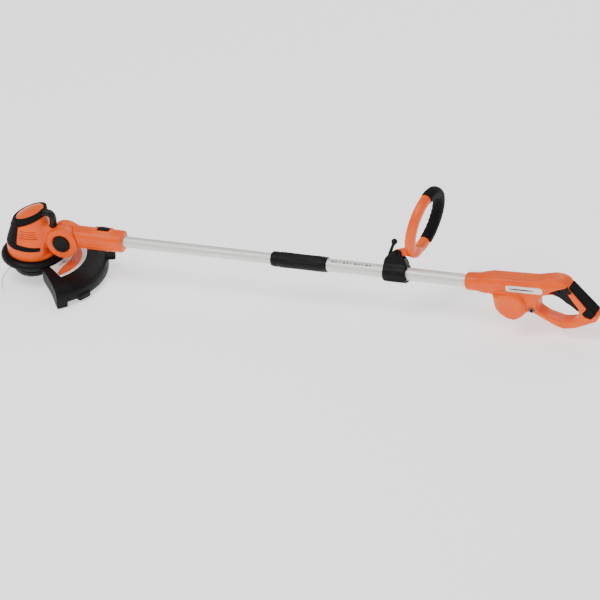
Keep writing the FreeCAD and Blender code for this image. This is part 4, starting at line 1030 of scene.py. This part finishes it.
def housing_widths(x, z):
    """Half of the barrel's width: full up to a shoulder, then leaning in to the crown."""
    shoulder = np.interp(x, (0, 60, 170, 240), (9, 14, 17, 19))
    return 22 - np.maximum(z - shoulder, 0) * 0.36 - np.maximum(-30 - z, 0) * 0.12


def rear_field(x, y, z):
    wide = np.abs(y)
    barrel = both(inside_of(BARREL, x, z), wide - housing_widths(x, z), 4.5)
    nose = np.hypot(y, z) - np.interp(x, (0, 30, 55, 80), (19.3, 21.6, 30, 70))
    barrel = smooth_max(barrel, nose, 6)
    dock_top = np.interp(x, (66, 84, 134, 142), (30, 38, 38, 30))
    dock = both(inside_of(DOCK, x, z), wide - dock_top, 6.5)
    grip = both(inside_of(GRIP, x, z), wide - 16.5, 6)
    housing = smooth_min(smooth_min(barrel, dock, 5), grip, 4)
    housing = less(housing, inside_of(FINGER_HOLE, x, z), 4)
    tube = both(np.hypot(y, z) - 14.1, x - 91, 0.2)
    housing = less(housing, tube, 0.5)
    slot = both(both(between(x + z * 0.36, 70, 92), wide - 23, 0.5), z + 42, 0.5)
    housing = less(housing, slot, 0.8)
    room = both(inside_of(TRIGGER_ROOM, x, z), wide - 8, 0.4)
    housing = less(housing, room, 0.6)
    back = both(inside_of(BACK_GRIP, x, z) - 0.3, 13.2 - wide, 0.1)
    back = np.minimum(back, both(inside_of(BACK_GRIP, x, z) - 0.3, back_depth(x, z, 191.6), 0.1))
    housing = less(housing, back, 0.4)
    panel = both(inside_of(SIDE_PANEL, x, z) - 0.3, 14.8 - wide, 0.1)
    housing = less(housing, panel, 0.4)
    housing = less(housing, disc(x, z, LOCK_BUTTON, LOCK_BUTTON_HOLE), 0.3)
    housing = less(housing, disc(x, z, EYELET, 6.1), 0.3)
    return less(housing, both(inside_of(LABEL_SEAT, x, z), LABEL_FACE - wide, 0.1), 0.3)


solid("rear_shell", rear_field, (-4, -41, -91), (305, 41, 42), 1.3, NOSE, "handle_frame", orange,
      "orange_plastic", "rear_housing_left rear_housing_right", thin=0.4)


def back_grip_field(x, y, z):
    wide = np.abs(y)
    pad = both(inside_of(BACK_GRIP, x, z) - 0.15, wide - 17.0, 3.5)
    pad = np.maximum(pad, np.minimum(13.7 - wide, back_depth(x, z, 192.6)))
    along = x * 0.66 - z * 0.751
    ripple = 0.35 * np.cos(along * 2 * np.pi / 4.2)
    return pad + np.where((along > 158) & (along < 205), ripple, 0) * 0.5


solid("back_rubber", back_grip_field, (220, -19, -58), (301, 19, 28), 0.9, NOSE, "handle_frame", rubber,
      "black_rubber", "back_grip")


def panel_field(sign):
    def field(x, y, z):
        wide = y * sign
        panel = both(inside_of(SIDE_PANEL, x, z), between(wide, 15.1, 17.4), 0.7)
        return less(panel, disc(x, z, LOCK_BUTTON, LOCK_BUTTON_HOLE), 0.3)
    return field


for side, sign in SIDES:
    low, high = mirrored(sign, 14, 18.5)
    solid("side_inset_" + side, panel_field(sign), (188, low, -36), (261, high, 25), 0.6, NOSE,
          "handle_frame", black, "black_plastic", "side_panel_" + side)


def trigger_field(x, y, z):
    blade = both(inside_of(TRIGGER, x, z), np.abs(y) - 7.3, 2.2)
    eye = both(disc(x, z, TRIGGER_PIN, 5), np.abs(y) - 7.3, 0.8)
    return less(smooth_min(blade, eye, 1), disc(x, z, TRIGGER_PIN, 2.1), 0.2)


solid("trigger_paddle", trigger_field, (185, -9, -49), (262, 9, 8), 0.8, NOSE, "trigger_lever", black_gloss,
      "black_plastic", "trigger")


def film_field(outline, sign, near, far, rounding):
    def field(x, y, z):
        return both(inside_of(outline, x, z), between(y * sign, near, far), rounding)
    return field


plates = []
for side, sign in SIDES:
    low, high = mirrored(sign, 20.9, 23.7)
    plates.append(skin_of(film_field(LABEL_PLATE, sign, LABEL_FACE, 22.7, 0.25), (93, low, -6),
                          (186, high, 19), 0.5))
for side, sign in SIDES:
    low, high = mirrored(sign, 21.5, 23.6)
    solid("side_film_mark_" + side, film_field(LABEL_MARK, sign, 22.3, 22.95, 0.2), (103, low, 2),
          (163, high, 10), 0.35, NOSE, "handle_frame", film_dark, "label", thin=0.2)
piece("side_films", np.concatenate([plates[0][0], plates[1][0]]),
      np.concatenate([plates[0][1], plates[1][1] + len(plates[0][0])]), NOSE, "handle_frame", film_white,
      "label", "side_labels", thin=0.25)

# -------- button springs


COIL_STEPS = 24


def coil_spring(name, node, place, fixed_end, axis, height, radius, wire, turns, body):
    """A wound spring in place of the CAD's. It stands along an axis from its fixed end."""
    foot, axis = Vector(fixed_end), Vector(axis)
    side = axis.orthogonal().normalized()
    out = axis.cross(side)
    steps = turns * COIL_STEPS
    path = []
    for step in range(steps + 1):
        angle = 2 * math.pi * step / COIL_STEPS
        path.append(foot + axis * (wire + (height - 2 * wire) * step / steps)
                    + (side * math.cos(angle) + out * math.sin(angle)) * radius)
    points, faces = sweep(path, lambda share, angle: (wire * math.cos(angle), wire * math.sin(angle)),
                          side=axis)
    made = piece(name, points, faces, place, body, steel, "steel", node)
    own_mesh(made)


coil_spring("bump_coil", "bump_spring", HEAD, (0, 0, -30.5), (0, 0, -1), 8.2, 9.2, 0.7, 4, "line_head")
coil_spring("tilt_coil", "tilt_spring", HEAD, (HEAD_PIVOT[0], -19.1, HEAD_PIVOT[1]), (0, -1, 0), 3.8, 12, 0.5,
            3, "head")
coil_spring("release_coil", "release_spring", SHAFT, (88, 0, 17.5), (0, 0, 1), 3, 2.5, 0.3, 3, "neck")

# -------- what the CAD shows as it is

KEPT = (
    (steel, "rotor lower_bearing upper_bearing line_eyelet guard_screws line_cutter tilt_ratchet tilt_bolt "
            "neck_screws rear_screws trigger_pin"),
    (black, "cooling_fan line_reel swivel_collar tube_plug lock_collet loop_pin lever_pin lock_off_button "
            "trigger_switch"),
    (dull_steel, "strap_eyelet"), (copper, "motor_can"), (brass, "battery_terminals"),
    (nylon, "line_winding"), (rubber, "clamp_liner"), (board_green, "control_board"),
)
for material, names in KEPT:
    for name in names.split():
        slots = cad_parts[name].data.materials
        slots.clear()
        slots.append(material)

# -------- floor and finish

FLOOR_REACH = 30
FLOOR_LEVEL = -0.0005

floor_mesh = bpy.data.meshes.new("floor")
floor_mesh.from_pydata([(x * FLOOR_REACH, y * FLOOR_REACH, FLOOR_LEVEL)
                        for x, y in ((-1, -1), (1, -1), (1, 1), (-1, 1))], [], [(0, 1, 2, 3)])
floor = added("floor", floor_mesh)
paper = Finish("studio_paper", (0.97, 0.97, 0.97), 0.9, Emission_Color=(1, 1, 1, 1), Emission_Strength=0.75)
floor_mesh.materials.append(paper.material)
